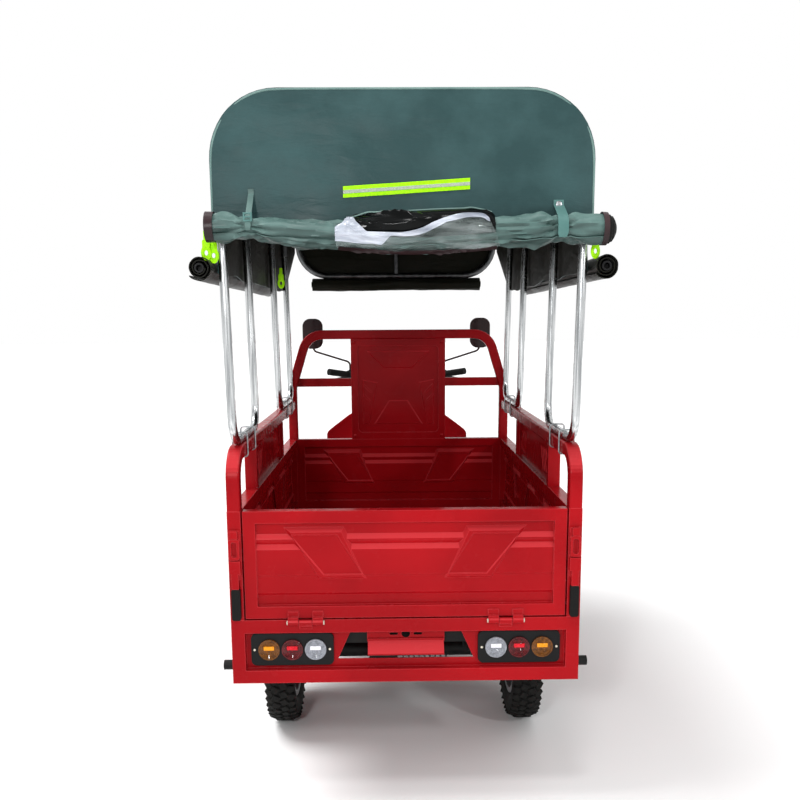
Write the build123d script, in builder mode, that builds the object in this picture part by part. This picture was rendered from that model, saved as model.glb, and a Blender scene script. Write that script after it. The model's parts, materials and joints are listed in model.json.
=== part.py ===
"""Three-wheeled cargo tricycle: pressed steel load bed, raked front fork and a fabric canopy on bows.

The frame has X to the right, Y forward and Z up. The origin lies on the ground below the middle of
the whole vehicle. All sizes are millimetres.
"""

import os
from math import cos, radians, sin, sqrt, tan

from build123d import *

os.makedirs("parts", exist_ok=True)

# Clearances
TOUCH_GAP = 0.3
RUN_GAP = 0.5
MOVE_GAP = 5

# Wheels
WHEELBASE = 2030
TRACK = 840
TYRE_R = 250
TYRE_W = 97
RIM_R = 152
RIM_WALL = 6
RIM_FLANGE = 12
BEAD_W = 68
HUB_R = 42
HUB_NOSE = 6
RIM_LIP = 5
DISC_HALF = 4
DISC_FOOT_R = 72
DISC_HOLES = 6
DISC_HOLE_R = 16
DISC_HOLE_PLACE = 110
REAR_STUB_R = 14
FRONT_SPINDLE_R = 8

# Load bed
REAR_OVERHANG = 611
BOX_WIDTH = 1000
BOX_LENGTH = 1530
FLOOR_Z = 576
WALL_H = 318
SIDE_T = 38
FRONT_T = 32
GATE_T = 30
WALL_BORDER = 35
TUBE_EDGE = 6
SHEET_T = 4
SILL_H = 40
SILL_W = 38
FLOOR_DROP = 5
FLOOR_T = 5
FLOOR_RIBS = 15
FLOOR_RIB_W = 42
CROSS_BEAMS = 5
CROSS_BEAM_W = 40
EMBOSS_TAPER = 45

# Guard rails above the side walls
RAIL_H = 176
RAIL_D = 40
RAIL_BEND = 75
WINDOW_REAR = 340
WINDOW_FRONT = 1010
BAR_W = 26
INFILL_T = 14
INFILL_SLOTS = 4
INFILL_SLOT_L = 90
INFILL_SLOT_W = 12
INFILL_SLOT_PITCH = 30
INFILL_SLOT_SET = 105
INFILL_LEAN = 60

# Headboard
HOOP_TOP_Z = 1383
HOOP_TUBE = 40
HOOP_INSET = 5
HOOP_KINK_Z = 1130
HOOP_TAPER = 92
HOOP_BEND = 90
CROSSBAR_Z = 1150
CROSSBAR_H = 37
PANEL_HALF = 211
PANEL_T = 15
PANEL_RECESS = 6
PANEL_EMBOSS = 4
PANEL_MARGIN = 30
PANEL_CORNER = 20

# Tail frame
TAIL_H = 190
TAIL_DEPTH = 40
TAIL_TOP_BEAM = 39
TAIL_LOW_BEAM = 38
TAIL_SHEET_SET = 22
LAMP_PLATE_SET = 15
LAMP_PLATE_W = 238
LAMP_PLATE_H = 96
LAMP_PLATE_T = 10
LAMP_PLATE_CORNER = 16
LAMP_Z = 483
LENS_R = 31
LENS_T = 9
LENS_TAPER = 12
LENS_PITCH = 67
TAB_HALF = 112
TAB_DROP = 37
CUT_FOOT_HALF = 197
CUT_TOP_HALF = 160
CUT_H = 83
CUT_TOP_DROP = 5
TOW_HOLE_R = 12.5
TOW_HOLE_DROP = 14
TOW_SLOT_X = 35
TOW_SLOT_L = 25
TOW_SLOT_W = 8
PEG_R = 14
PEG_LENGTH = 27
PEG_Z = 436

# Tailgate hinge
HINGE_X = 286
HINGE_R = 8
HINGE_W = 100
HINGE_MID_W = 36
HINGE_PIN_R = 4
HINGE_DROP = 5
HINGE_STAND_OFF = 1
HINGE_SIDE_GAP = 2

# Chassis
CHASSIS_RAIL_X = 240
CHASSIS_RAIL_W = 40
CHASSIS_RAIL_H = 60
STEP_BEND = 45
FOOT_SET = 411
FOOT_Z = 340
AXLE_TUBE_R = 30
AXLE_END_SET = 75
STUB_OUT = 52
SADDLE_H = 12
SADDLE_HALF = 28
SPRING_HALF = 380
SPRING_CAMBER = 70
LEAF_T = 8
LEAF_W = 50
LEAF_COUNT = 4
LEAF_STEP = 75
SPRING_EYE_R = 18
SPRING_PIN_R = 8
MOTOR_R = 80
MOTOR_LENGTH = 200
MOTOR_FINS = 9
FIN_T = 6
FIN_H = 7
CASE_R = 95
MOTOR_SET = 135

# Driver's station. The step in the rails and the seat's front are parts of the cab's length.
CAB_STEP = (0.08, 0.24)
CAB_SEAT = 0.61
FOOTBOARD_HALF = 330
FOOTBOARD_T = 5
FOOTBOARD_CORNER = 40
FOOTBOARD_NOTCH = 120
SEAT_Z = 700
SEAT_H = 90
SEAT_HALF = 235
SEAT_BOX_HALF = 205
SEAT_SET = 45
SEAT_CORNER = 60
SEAT_BOX_LEAN = 30
SEAT_BOX_BACK_UP = 40
BACKREST_UP = 130
BACKREST_H = 200
BACKREST_T = 60
BACKREST_INSET = 10
BACKREST_CORNER = 40
SHIELD_R = 900
SHIELD_T = 4
SHIELD_SET = 132
SHIELD_STAY_W = 40
SHIELD_STAY_H = 50

# Steering
RAKE = 24
TRAIL = 85
FORK_HALF = 88
SLIDER_R = 24
SLIDER_FOOT = -30
SLIDER_TOP = 250
STANCHION_R = 16
STANCHION_FOOT = 240
STEERER_R = 16
HEAD_TUBE_R = 27
DOWN_TUBE_R = 26
BAR_R = 11
BAR_RISE = 50
BAR_BEND = 50
BAR_CLAMP_X = 45
BAR_CLAMP_R = 14

# Canopy
CANOPY_OUT = 7
CANOPY_TOP_Z = 2015
CANOPY_LENGTH = 2100
CANOPY_CORNER = 180
CLOTH_T = 4
EAVE_DROP = 470
REAR_PANEL_DROP = 375
FRONT_PANEL_DROP = 379
FRONT_CORNER = 165
BOW_R = 12.5
BOW_SPLAY = 12
BOW_BEND = 70
BOW_TOP_DROP = 315
PURLIN_R = 9
PURLIN_DROP = 210
SKIRT_LENGTH = 1560
REAR_ROLL_R = 43
SIDE_ROLL_R = 36
FRONT_ROLL_R = 32

# Places worked out from the driving sizes
ROLL_REACH = CLOTH_T + TOUCH_GAP + 2 * REAR_ROLL_R
LENGTH = ROLL_REACH + REAR_OVERHANG + WHEELBASE + TYRE_R
TAIL_Y = ROLL_REACH - LENGTH / 2
REAR_AXLE_Y = TAIL_Y + REAR_OVERHANG
FRONT_AXLE_Y = REAR_AXLE_Y + WHEELBASE
AXLE_Z = TYRE_R
BOX_HALF = BOX_WIDTH / 2
HOOP_HALF = BOX_HALF - HOOP_INSET
HOOP_TOP_HALF = HOOP_HALF - HOOP_TAPER
BOX_FRONT_Y = TAIL_Y + BOX_LENGTH
BOX_MID_Y = TAIL_Y + BOX_LENGTH / 2
INNER_HALF = BOX_HALF - SIDE_T
LAMP_PLATE_X = INNER_HALF - LAMP_PLATE_SET - LAMP_PLATE_W / 2
WALL_TOP_Z = FLOOR_Z + WALL_H
RAIL_TOP_Z = WALL_TOP_Z + RAIL_H
RAIL_X = BOX_HALF - SIDE_T / 2
HOOP_BACK_Y = BOX_FRONT_Y - FRONT_T
CHASSIS_TOP_Z = FLOOR_Z - SILL_H
CHASSIS_Z = CHASSIS_TOP_Z - CHASSIS_RAIL_H / 2
TAIL_FOOT_Z = FLOOR_Z - TAIL_H
HINGE_Y = TAIL_Y - HINGE_R - HINGE_STAND_OFF
HINGE_Z = FLOOR_Z - HINGE_DROP
CANOPY_FRONT_Y = TAIL_Y + CANOPY_LENGTH
CANOPY_HALF = BOX_HALF + CANOPY_OUT
EAVE_Z = CANOPY_TOP_Z - EAVE_DROP
REAR_PANEL_Z = CANOPY_TOP_Z - REAR_PANEL_DROP
FRONT_PANEL_Z = CANOPY_TOP_Z - FRONT_PANEL_DROP
BOW_TOP_Z = CANOPY_TOP_Z - BOW_TOP_DROP
BOW_X = CANOPY_HALF - CLOTH_T - TOUCH_GAP - BOW_R
BOW_FOOT_X = BOW_X - BOW_SPLAY
BOW_FOOT_Z = RAIL_TOP_Z + BOW_R + TOUCH_GAP
ARCH_Z = CANOPY_TOP_Z - CLOTH_T - TOUCH_GAP - BOW_R


def save(piece, name):
    """Labels a finished sub-part and writes it."""
    piece.label = name
    export_step(piece, f"parts/{name}.step")


def block(x, y, z):
    """A box between the (low, high) limits on each axis."""
    with BuildPart() as piece:
        with Locations((sum(x) / 2, sum(y) / 2, sum(z) / 2)):
            Box(x[1] - x[0], y[1] - y[0], z[1] - z[0])
    return piece.part


def rod(start, end, radius):
    """A round bar between two points."""
    run = Vector(*end) - Vector(*start)
    with BuildPart() as piece:
        with BuildSketch(Plane(start, z_dir=run)):
            Circle(radius)
        extrude(amount=run.length)
    return piece.part


def bent_bar(points, radius, bend):
    """A round bar along straight runs joined by arcs, of one bend radius or one for each corner."""
    with BuildPart() as piece:
        with BuildLine() as path:
            FilletPolyline(*points, radius=bend)
        with BuildSketch(Plane(path.line @ 0, z_dir=path.line % 0)):
            Circle(radius)
        sweep(path=path.line)
    return piece.part


def bent_tube(points, width, depth, bend):
    """A rectangular tube, its width along X, along runs in a plane of constant X."""
    with BuildPart() as piece:
        with BuildLine() as path:
            FilletPolyline(*points, radius=bend)
        with BuildSketch(Plane(path.line @ 0, x_dir=(1, 0, 0), z_dir=path.line % 0)):
            RectangleRounded(width, depth, TUBE_EDGE)
        sweep(path=path.line)
    return piece.part


# Level pressings of the bed's sheets. Lower rows: rise above the foot, depth behind the frame's face.
# Upper rows: drop below the top, depth.
PRESS_LOW = ((0, 15), (30, 15), (38, 9), (86, 9), (92, 6))
PRESS_HIGH = ((78, 6), (64, 15), (52, 8), (48, 8), (34, 16), (0, 16))
SLANT_RISE = 71
SLANT_DROP = 13
SLANT_BACK = 18
SLANT_FACE = 2
SLANT_RIM = 20
SLANT_POCKET = 4
SLANT_TAPER = 40
SLANT_POCKET_TAPER = 30


def pressed_sheet(length, height, slants):
    """A pressed sheet standing on z = 0, its outer side to -y, with raised slanted panels.

    Each slant is (top middle, top width, foot middle, foot width) along x.
    """
    outer = [(depth, rise) for rise, depth in PRESS_LOW]
    outer += [(depth, height - drop) for drop, depth in PRESS_HIGH]
    inner = [(depth + SHEET_T, level) for depth, level in reversed(outer)]
    with BuildPart() as sheet:
        with BuildSketch(Plane.YZ):
            with BuildLine():
                Polyline(*outer, *inner, close=True)
            make_face()
        extrude(amount=length / 2, both=True)
        for top_x, top_w, foot_x, foot_w in slants:
            with BuildSketch(Plane.XZ.offset(-SLANT_BACK)):
                with BuildLine():
                    Polyline(
                        (foot_x - foot_w / 2, SLANT_RISE),
                        (foot_x + foot_w / 2, SLANT_RISE),
                        (top_x + top_w / 2, height - SLANT_DROP),
                        (top_x - top_w / 2, height - SLANT_DROP),
                        close=True,
                    )
                make_face()
            extrude(amount=SLANT_BACK - SLANT_FACE, taper=SLANT_TAPER)
            with BuildSketch(Plane.XZ.offset(-SLANT_FACE)):
                with BuildLine():
                    Polyline(
                        (foot_x - foot_w / 2 + SLANT_RIM, SLANT_RISE + SLANT_RIM),
                        (foot_x + foot_w / 2 - SLANT_RIM, SLANT_RISE + SLANT_RIM),
                        (top_x + top_w / 2 - SLANT_RIM, height - SLANT_DROP - SLANT_RIM),
                        (top_x - top_w / 2 + SLANT_RIM, height - SLANT_DROP - SLANT_RIM),
                        close=True,
                    )
                make_face()
            extrude(amount=-SLANT_POCKET, taper=SLANT_POCKET_TAPER, mode=Mode.SUBTRACT)
    return sheet.part


def framed_wall(length, height, thickness, slants):
    """A tube frame welded round a pressed sheet, on z = 0, outer face on y = 0, body towards +y."""
    opening = length - 2 * WALL_BORDER
    with BuildPart() as wall:
        with BuildSketch(Plane.XZ):
            with Locations((0, height / 2)):
                Rectangle(length, height)
                Rectangle(opening, height - 2 * WALL_BORDER, mode=Mode.SUBTRACT)
        extrude(amount=-thickness)
        sheet = pressed_sheet(opening, height - 2 * WALL_BORDER, slants)
        add(sheet.moved(Location((0, 0, WALL_BORDER))))
    return wall.part


# Slanted panels: top middle, top width, foot middle, foot width
GATE_SLANTS = ((-260, 175, -176, 153), (260, 175, 176, 153))
SIDE_SLANTS = (
    (-560, 175, -476, 153),
    (-150, 175, -234, 153),
    (150, 175, 234, 153),
    (560, 175, 476, 153),
)

# Side walls, front wall
side_wall = framed_wall(BOX_LENGTH, WALL_H, SIDE_T, SIDE_SLANTS)
for side, turn, name in ((1, 90, "side_wall_right"), (-1, -90, "side_wall_left")):
    save(side_wall.moved(Location((side * BOX_HALF, BOX_MID_Y, FLOOR_Z), (0, 0, turn))), name)
front_wall = framed_wall(2 * INNER_HALF, WALL_H, FRONT_T, GATE_SLANTS)
save(front_wall.moved(Location((0, HOOP_BACK_Y, FLOOR_Z))), "front_wall")

# Tailgate with its hinge knuckles
GATE_HALF = INNER_HALF - MOVE_GAP
GATE_Z = FLOOR_Z + MOVE_GAP
GATE_H = WALL_TOP_Z - GATE_Z
HINGE_LEAF_T = 5
HINGE_LEAF_H = 21
HINGE_SIDE_W = (HINGE_W - HINGE_MID_W) / 2 - HINGE_SIDE_GAP
HINGE_SIDE_X = (HINGE_W - HINGE_SIDE_W) / 2
ARM_FACE_Y = HINGE_Y + HINGE_R
ARM_BACK_Y = HINGE_Y - HINGE_R / 2
with BuildPart() as tailgate:
    add(framed_wall(2 * GATE_HALF, GATE_H, GATE_T, GATE_SLANTS).moved(Location((0, TAIL_Y, GATE_Z))))
    for hinge_x in (-HINGE_X, HINGE_X):
        for knuckle_x in (hinge_x - HINGE_SIDE_X, hinge_x + HINGE_SIDE_X):
            x_span = (knuckle_x - HINGE_SIDE_W / 2, knuckle_x + HINGE_SIDE_W / 2)
            add(rod((x_span[0], HINGE_Y, HINGE_Z), (x_span[1], HINGE_Y, HINGE_Z), HINGE_R))
            add(block(x_span, (ARM_BACK_Y, ARM_FACE_Y), (HINGE_Z, GATE_Z + MOVE_GAP)))
            add(block(x_span, (TAIL_Y - HINGE_LEAF_T, TAIL_Y), (GATE_Z, GATE_Z + HINGE_LEAF_H)))
        bore = rod(
            (hinge_x - HINGE_W / 2, HINGE_Y, HINGE_Z),
            (hinge_x + HINGE_W / 2, HINGE_Y, HINGE_Z),
            HINGE_PIN_R + RUN_GAP,
        )
        add(bore, mode=Mode.SUBTRACT)
save(tailgate.part, "tailgate")

# Tail frame: four beams round a set-back sheet with cut-outs, a tow tab and the fixed hinge knuckles
TAIL_OPEN_TOP = FLOOR_Z - TAIL_TOP_BEAM
TAIL_OPEN_FOOT = TAIL_FOOT_Z + TAIL_LOW_BEAM
CUT_TOP_Z = TAIL_OPEN_TOP - CUT_TOP_DROP
TAB_Z = TAIL_OPEN_TOP - TAB_DROP
TOW_Z = TAIL_OPEN_TOP - TOW_HOLE_DROP
with BuildPart() as tail_frame:
    with BuildSketch(Plane.XZ.offset(-TAIL_Y)):
        with Locations((0, (FLOOR_Z + TAIL_FOOT_Z) / 2)):
            Rectangle(BOX_WIDTH, TAIL_H)
        with Locations((0, (TAIL_OPEN_TOP + TAIL_OPEN_FOOT) / 2)):
            Rectangle(2 * INNER_HALF, TAIL_OPEN_TOP - TAIL_OPEN_FOOT, mode=Mode.SUBTRACT)
    extrude(amount=-TAIL_DEPTH)
    with BuildSketch(Plane.XZ.offset(-TAIL_Y - TAIL_SHEET_SET)):
        with Locations((0, (TAIL_OPEN_TOP + TAIL_OPEN_FOOT) / 2)):
            Rectangle(2 * INNER_HALF, TAIL_OPEN_TOP - TAIL_OPEN_FOOT)
        with BuildLine():
            Polyline(
                (-CUT_FOOT_HALF, CUT_TOP_Z - CUT_H),
                (-CUT_TOP_HALF, CUT_TOP_Z),
                (-TAB_HALF, CUT_TOP_Z),
                (-TAB_HALF, TAB_Z),
                (TAB_HALF, TAB_Z),
                (TAB_HALF, CUT_TOP_Z),
                (CUT_TOP_HALF, CUT_TOP_Z),
                (CUT_FOOT_HALF, CUT_TOP_Z - CUT_H),
                close=True,
            )
        make_face(mode=Mode.SUBTRACT)
        with Locations((0, TOW_Z)):
            Circle(TOW_HOLE_R, mode=Mode.SUBTRACT)
        with Locations((-TOW_SLOT_X, TOW_Z), (TOW_SLOT_X, TOW_Z)):
            SlotOverall(TOW_SLOT_L, TOW_SLOT_W, mode=Mode.SUBTRACT)
    extrude(amount=-SHEET_T)
    for hinge_x in (-HINGE_X, HINGE_X):
        x_span = (hinge_x - HINGE_MID_W / 2, hinge_x + HINGE_MID_W / 2)
        add(rod((x_span[0], HINGE_Y, HINGE_Z), (x_span[1], HINGE_Y, HINGE_Z), HINGE_R))
        add(block(x_span, (ARM_BACK_Y, ARM_FACE_Y), (HINGE_Z - HINGE_LEAF_H / 2, HINGE_Z)))
        leaf_z = (HINGE_Z - HINGE_LEAF_H, HINGE_Z - HINGE_DROP)
        add(block(x_span, (TAIL_Y - HINGE_LEAF_T, TAIL_Y), leaf_z))
        pin = rod(
            (hinge_x - HINGE_W / 2, HINGE_Y, HINGE_Z),
            (hinge_x + HINGE_W / 2, HINGE_Y, HINGE_Z),
            HINGE_PIN_R,
        )
        add(pin)
save(tail_frame.part, "tail_frame")

# Lashing pegs on the ends of the tail frame
PEG_Y = TAIL_Y + TAIL_DEPTH / 2
with BuildPart() as lashing_pegs:
    for side in (-1, 1):
        add(rod((side * BOX_HALF, PEG_Y, PEG_Z), (side * (BOX_HALF + PEG_LENGTH), PEG_Y, PEG_Z), PEG_R))
save(lashing_pegs.part, "lashing_pegs")

# Tail lamps: two black plates with three lenses each
LAMP_FACE_Y = TAIL_Y + TAIL_SHEET_SET - LAMP_PLATE_T
with BuildPart() as tail_lamp_plates:
    with BuildSketch(Plane.XZ.offset(-TAIL_Y - TAIL_SHEET_SET)):
        with Locations((-LAMP_PLATE_X, LAMP_Z), (LAMP_PLATE_X, LAMP_Z)):
            RectangleRounded(LAMP_PLATE_W, LAMP_PLATE_H, LAMP_PLATE_CORNER)
    extrude(amount=LAMP_PLATE_T)
save(tail_lamp_plates.part, "tail_lamp_plates")
for name, place in (("lens_amber", 1), ("lens_red", 0), ("lens_clear", -1)):
    lens_x = LAMP_PLATE_X + place * LENS_PITCH
    with BuildPart() as lens:
        with BuildSketch(Plane.XZ.offset(-LAMP_FACE_Y)):
            with Locations((-lens_x, LAMP_Z), (lens_x, LAMP_Z)):
                Circle(LENS_R)
        extrude(amount=LENS_T, taper=LENS_TAPER)
    save(lens.part, name)

# Folded bracket under the tow tab for a registration plate
BRACKET_INSET = 2
BRACKET_HALF = TAB_HALF - BRACKET_INSET
BRACKET_DROP = 32
BRACKET_T = 4
BRACKET_LIP = 10
with BuildPart() as plate_bracket:
    with BuildSketch(Plane.YZ):
        with BuildLine():
            Polyline(
                (TAIL_Y + TAIL_SHEET_SET, TAB_Z + BRACKET_LIP),
                (TAIL_Y + TAIL_SHEET_SET, TAB_Z),
                (TAIL_Y, TAB_Z - BRACKET_DROP),
                (TAIL_Y - BRACKET_T, TAB_Z - BRACKET_DROP),
                (TAIL_Y - BRACKET_T, TAB_Z - BRACKET_DROP + BRACKET_T),
                (TAIL_Y + TAIL_SHEET_SET - BRACKET_T, TAB_Z + BRACKET_T),
                (TAIL_Y + TAIL_SHEET_SET - BRACKET_T, TAB_Z + BRACKET_LIP),
                close=True,
            )
        make_face()
    extrude(amount=BRACKET_HALF, both=True)
save(plate_bracket.part, "plate_bracket")

# Toggle latches on the rear posts: base, hook, wire loop and lever, with a sleeved handle
LATCH_X = RAIL_X
LATCH_W = 32
LATCH_Z = 735
LATCH_BASE_T = 4
LATCH_BASE_UP = 34
LATCH_BASE_H = 144
LATCH_BASE_CORNER = 5
LOOP_UP = 52
LOOP_W = 30
LOOP_H = 60
LOOP_CORNER = 8
LOOP_EYE_W = 16
LOOP_EYE_H = 44
LOOP_EYE_CORNER = 6
HOOK_UP = 94
HOOK_H = 22
LEVER_W = 20
LEVER_T = 10
LEVER_ROOT_H = 38
GRIP_Z = (580, 672)
GRIP_W = 25
GRIP_T = 14
GRIP_CORNER = 6
with BuildPart() as tailgate_latches:
    with BuildSketch(Plane.XZ.offset(-TAIL_Y)):
        with Locations((LATCH_X, LATCH_Z + LATCH_BASE_UP)):
            RectangleRounded(LATCH_W, LATCH_BASE_H, LATCH_BASE_CORNER)
    extrude(amount=LATCH_BASE_T)
    with BuildSketch(Plane.XZ.offset(-TAIL_Y + LATCH_BASE_T)):
        with Locations((LATCH_X, LATCH_Z + LOOP_UP)):
            RectangleRounded(LOOP_W, LOOP_H, LOOP_CORNER)
            RectangleRounded(LOOP_EYE_W, LOOP_EYE_H, LOOP_EYE_CORNER, mode=Mode.SUBTRACT)
        with Locations((LATCH_X, LATCH_Z)):
            Rectangle(LATCH_W, LEVER_ROOT_H)
        with Locations((LATCH_X, LATCH_Z + HOOK_UP)):
            Rectangle(LEVER_W, HOOK_H)
    extrude(amount=LEVER_T)
    with BuildSketch(Plane.XZ.offset(-TAIL_Y + LATCH_BASE_T)):
        with Locations((LATCH_X, (LATCH_Z + GRIP_Z[1]) / 2)):
            Rectangle(LEVER_W, LATCH_Z - GRIP_Z[1])
    extrude(amount=LEVER_T)
    mirror(about=Plane.YZ)
save(tailgate_latches.part, "tailgate_latches")
with BuildPart() as latch_grips:
    with BuildSketch(Plane.XZ.offset(-TAIL_Y)):
        with Locations((LATCH_X, sum(GRIP_Z) / 2)):
            RectangleRounded(GRIP_W, GRIP_Z[1] - GRIP_Z[0], GRIP_CORNER)
    extrude(amount=GRIP_T)
    mirror(about=Plane.YZ)
save(latch_grips.part, "latch_grips")

# Cargo floor: sills round a ribbed sheet, on cross beams
FLOOR_BACK_Y = TAIL_Y + TAIL_DEPTH
FLOOR_LENGTH = BOX_FRONT_Y - FLOOR_BACK_Y
FLOOR_MID_Y = (BOX_FRONT_Y + FLOOR_BACK_Y) / 2
SHEET_TOP_Z = FLOOR_Z - FLOOR_DROP
RIB_PITCH = (FLOOR_LENGTH - 2 * SILL_W) / FLOOR_RIBS
BEAM_PITCH = (FLOOR_LENGTH - 2 * SILL_W) / (CROSS_BEAMS + 1)
with BuildPart() as cargo_floor:
    with BuildSketch(Plane.XY.offset(CHASSIS_TOP_Z)):
        with Locations((0, FLOOR_MID_Y)):
            Rectangle(BOX_WIDTH, FLOOR_LENGTH)
            Rectangle(BOX_WIDTH - 2 * SILL_W, FLOOR_LENGTH - 2 * SILL_W, mode=Mode.SUBTRACT)
    extrude(amount=SILL_H)
    with BuildSketch(Plane.XY.offset(SHEET_TOP_Z - FLOOR_T)):
        with Locations((0, FLOOR_MID_Y)):
            Rectangle(BOX_WIDTH - 2 * SILL_W, FLOOR_LENGTH - 2 * SILL_W)
    extrude(amount=FLOOR_T)
    with BuildSketch(Plane.XY.offset(SHEET_TOP_Z)):
        with Locations((0, FLOOR_MID_Y)):
            with GridLocations(0, RIB_PITCH, 1, FLOOR_RIBS):
                Rectangle(2 * INNER_HALF - 2 * SILL_W, FLOOR_RIB_W)
    extrude(amount=FLOOR_DROP, taper=EMBOSS_TAPER)
    with BuildSketch(Plane.XY.offset(CHASSIS_TOP_Z)):
        with Locations((0, FLOOR_MID_Y)):
            with GridLocations(0, BEAM_PITCH, 1, CROSS_BEAMS):
                Rectangle(BOX_WIDTH - 2 * SILL_W, CROSS_BEAM_W)
    extrude(amount=SHEET_TOP_Z - FLOOR_T - CHASSIS_TOP_Z)
save(cargo_floor.part, "cargo_floor")

# Guard rails: a tube bent down into the rear post, and under it a slotted infill between two windows
RAIL_POST_Y = TAIL_Y + RAIL_D / 2
RAIL_MID_Z = RAIL_TOP_Z - RAIL_D / 2
INFILL_SPAN_Y = (TAIL_Y + WINDOW_REAR, TAIL_Y + WINDOW_FRONT)
RAIL_FOOT_Z = RAIL_TOP_Z - RAIL_D
with BuildPart() as guard_rail_right:
    rail_path = (
        (RAIL_X, RAIL_POST_Y, WALL_TOP_Z),
        (RAIL_X, RAIL_POST_Y, RAIL_MID_Z),
        (RAIL_X, HOOP_BACK_Y, RAIL_MID_Z),
    )
    add(bent_tube(rail_path, SIDE_T, RAIL_D, RAIL_BEND))
save(guard_rail_right.part, "guard_rail_right")
save(mirror(guard_rail_right.part, about=Plane.YZ), "guard_rail_left")
with BuildPart() as rail_infill_right:
    for bar_y in INFILL_SPAN_Y:
        bar_span_y = (bar_y - BAR_W / 2, bar_y + BAR_W / 2)
        add(block((RAIL_X - SIDE_T / 2, RAIL_X + SIDE_T / 2), bar_span_y, (WALL_TOP_Z, RAIL_FOOT_Z)))
    infill_y = (INFILL_SPAN_Y[0] + BAR_W / 2, INFILL_SPAN_Y[1] - BAR_W / 2)
    add(block((RAIL_X - INFILL_T / 2, RAIL_X + INFILL_T / 2), infill_y, (WALL_TOP_Z, RAIL_FOOT_Z)))
    with BuildSketch(Plane.YZ.offset(RAIL_X - INFILL_T / 2)):
        for end_y, lean in zip(infill_y, (1, -1)):
            with Locations((end_y + lean * INFILL_SLOT_SET, (WALL_TOP_Z + RAIL_FOOT_Z) / 2)):
                with GridLocations(INFILL_SLOT_PITCH, 0, INFILL_SLOTS, 1):
                    SlotOverall(INFILL_SLOT_L, INFILL_SLOT_W, rotation=lean * INFILL_LEAN)
    extrude(amount=INFILL_T, mode=Mode.SUBTRACT)
save(rail_infill_right.part, "rail_infill_right")
save(mirror(rail_infill_right.part, about=Plane.YZ), "rail_infill_left")

# Headboard hoop and its pressed centre panel
HOOP_MID_Y = (HOOP_BACK_Y + BOX_FRONT_Y) / 2
HOOP_X = HOOP_HALF - HOOP_TUBE / 2
HOOP_MID_Z = HOOP_TOP_Z - HOOP_TUBE / 2
PANEL_FRONT_Y = HOOP_BACK_Y + PANEL_T
with BuildPart() as headboard_hoop:
    with BuildLine() as hoop_path:
        FilletPolyline(
            (-HOOP_X, HOOP_MID_Y, WALL_TOP_Z),
            (-HOOP_X, HOOP_MID_Y, HOOP_KINK_Z),
            (-HOOP_TOP_HALF, HOOP_MID_Y, HOOP_MID_Z),
            (HOOP_TOP_HALF, HOOP_MID_Y, HOOP_MID_Z),
            (HOOP_X, HOOP_MID_Y, HOOP_KINK_Z),
            (HOOP_X, HOOP_MID_Y, WALL_TOP_Z),
            radius=HOOP_BEND,
        )
    with BuildSketch(Plane(hoop_path.line @ 0, x_dir=(0, 1, 0), z_dir=(0, 0, 1))):
        RectangleRounded(FRONT_T, HOOP_TUBE, TUBE_EDGE)
    sweep(path=hoop_path.line)
    crossbar_z = (CROSSBAR_Z - CROSSBAR_H / 2, CROSSBAR_Z + CROSSBAR_H / 2)
    add(block((-HOOP_X, HOOP_X), (PANEL_FRONT_Y, BOX_FRONT_Y), crossbar_z))
save(headboard_hoop.part, "headboard_hoop")
PANEL_H = HOOP_TOP_Z - HOOP_TUBE - WALL_TOP_Z
PANEL_FACE_Y = HOOP_BACK_Y + PANEL_RECESS
# Raised forms as parts of the panel's half width and height. Middle pads: top half width, top, foot
# half width, foot. Side pads: corners. Slots: place across and up, length in millimetres.
PANEL_PADS = ((0.66, 0.88, 0.30, 0.71), (0.20, 0.39, 0.52, 0.15))
PANEL_SIDE_PAD = ((0.76, 0.60), (0.44, 0.57), (0.62, 0.15), (0.76, 0.15))
PANEL_SLOTS = ((0.66, 0.51, 50), (0.68, 0.42, 42))
PANEL_SLOT_W = 8
PANEL_SLOT_T = 1.5
PANEL_SLOT_LEAN = 45


def on_panel(across, up):
    """A place on the headboard panel from parts of its half width and height."""
    return (across * PANEL_HALF, WALL_TOP_Z + up * PANEL_H)


with BuildPart() as headboard_panel:
    with BuildSketch(Plane.XZ.offset(-PANEL_FRONT_Y)):
        with Locations((0, WALL_TOP_Z + PANEL_H / 2)):
            Rectangle(2 * PANEL_HALF, PANEL_H)
    extrude(amount=PANEL_T - PANEL_RECESS)
    with BuildSketch(Plane.XZ.offset(-PANEL_FACE_Y)):
        with Locations((0, WALL_TOP_Z + PANEL_H / 2)):
            Rectangle(2 * PANEL_HALF, PANEL_H)
            inner = (2 * (PANEL_HALF - PANEL_MARGIN), PANEL_H - 2 * PANEL_MARGIN)
            RectangleRounded(*inner, PANEL_CORNER, mode=Mode.SUBTRACT)
    extrude(amount=PANEL_RECESS)
    pads = [
        [
            on_panel(-top_half, top),
            on_panel(top_half, top),
            on_panel(foot_half, foot),
            on_panel(-foot_half, foot),
        ]
        for top_half, top, foot_half, foot in PANEL_PADS
    ]
    for side in (-1, 1):
        pads.append([on_panel(side * across, up) for across, up in PANEL_SIDE_PAD])
    for corners in pads:
        with BuildSketch(Plane.XZ.offset(-PANEL_FACE_Y)):
            with BuildLine():
                Polyline(*corners, close=True)
            make_face()
        extrude(amount=PANEL_EMBOSS, taper=EMBOSS_TAPER)
    with BuildSketch(Plane.XZ.offset(-PANEL_FACE_Y + PANEL_EMBOSS)):
        for side in (-1, 1):
            for across, up, length in PANEL_SLOTS:
                with Locations(on_panel(side * across, up)):
                    SlotOverall(length, PANEL_SLOT_W, rotation=side * PANEL_SLOT_LEAN)
    extrude(amount=PANEL_SLOT_T)
save(headboard_panel.part, "headboard_panel")

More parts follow.
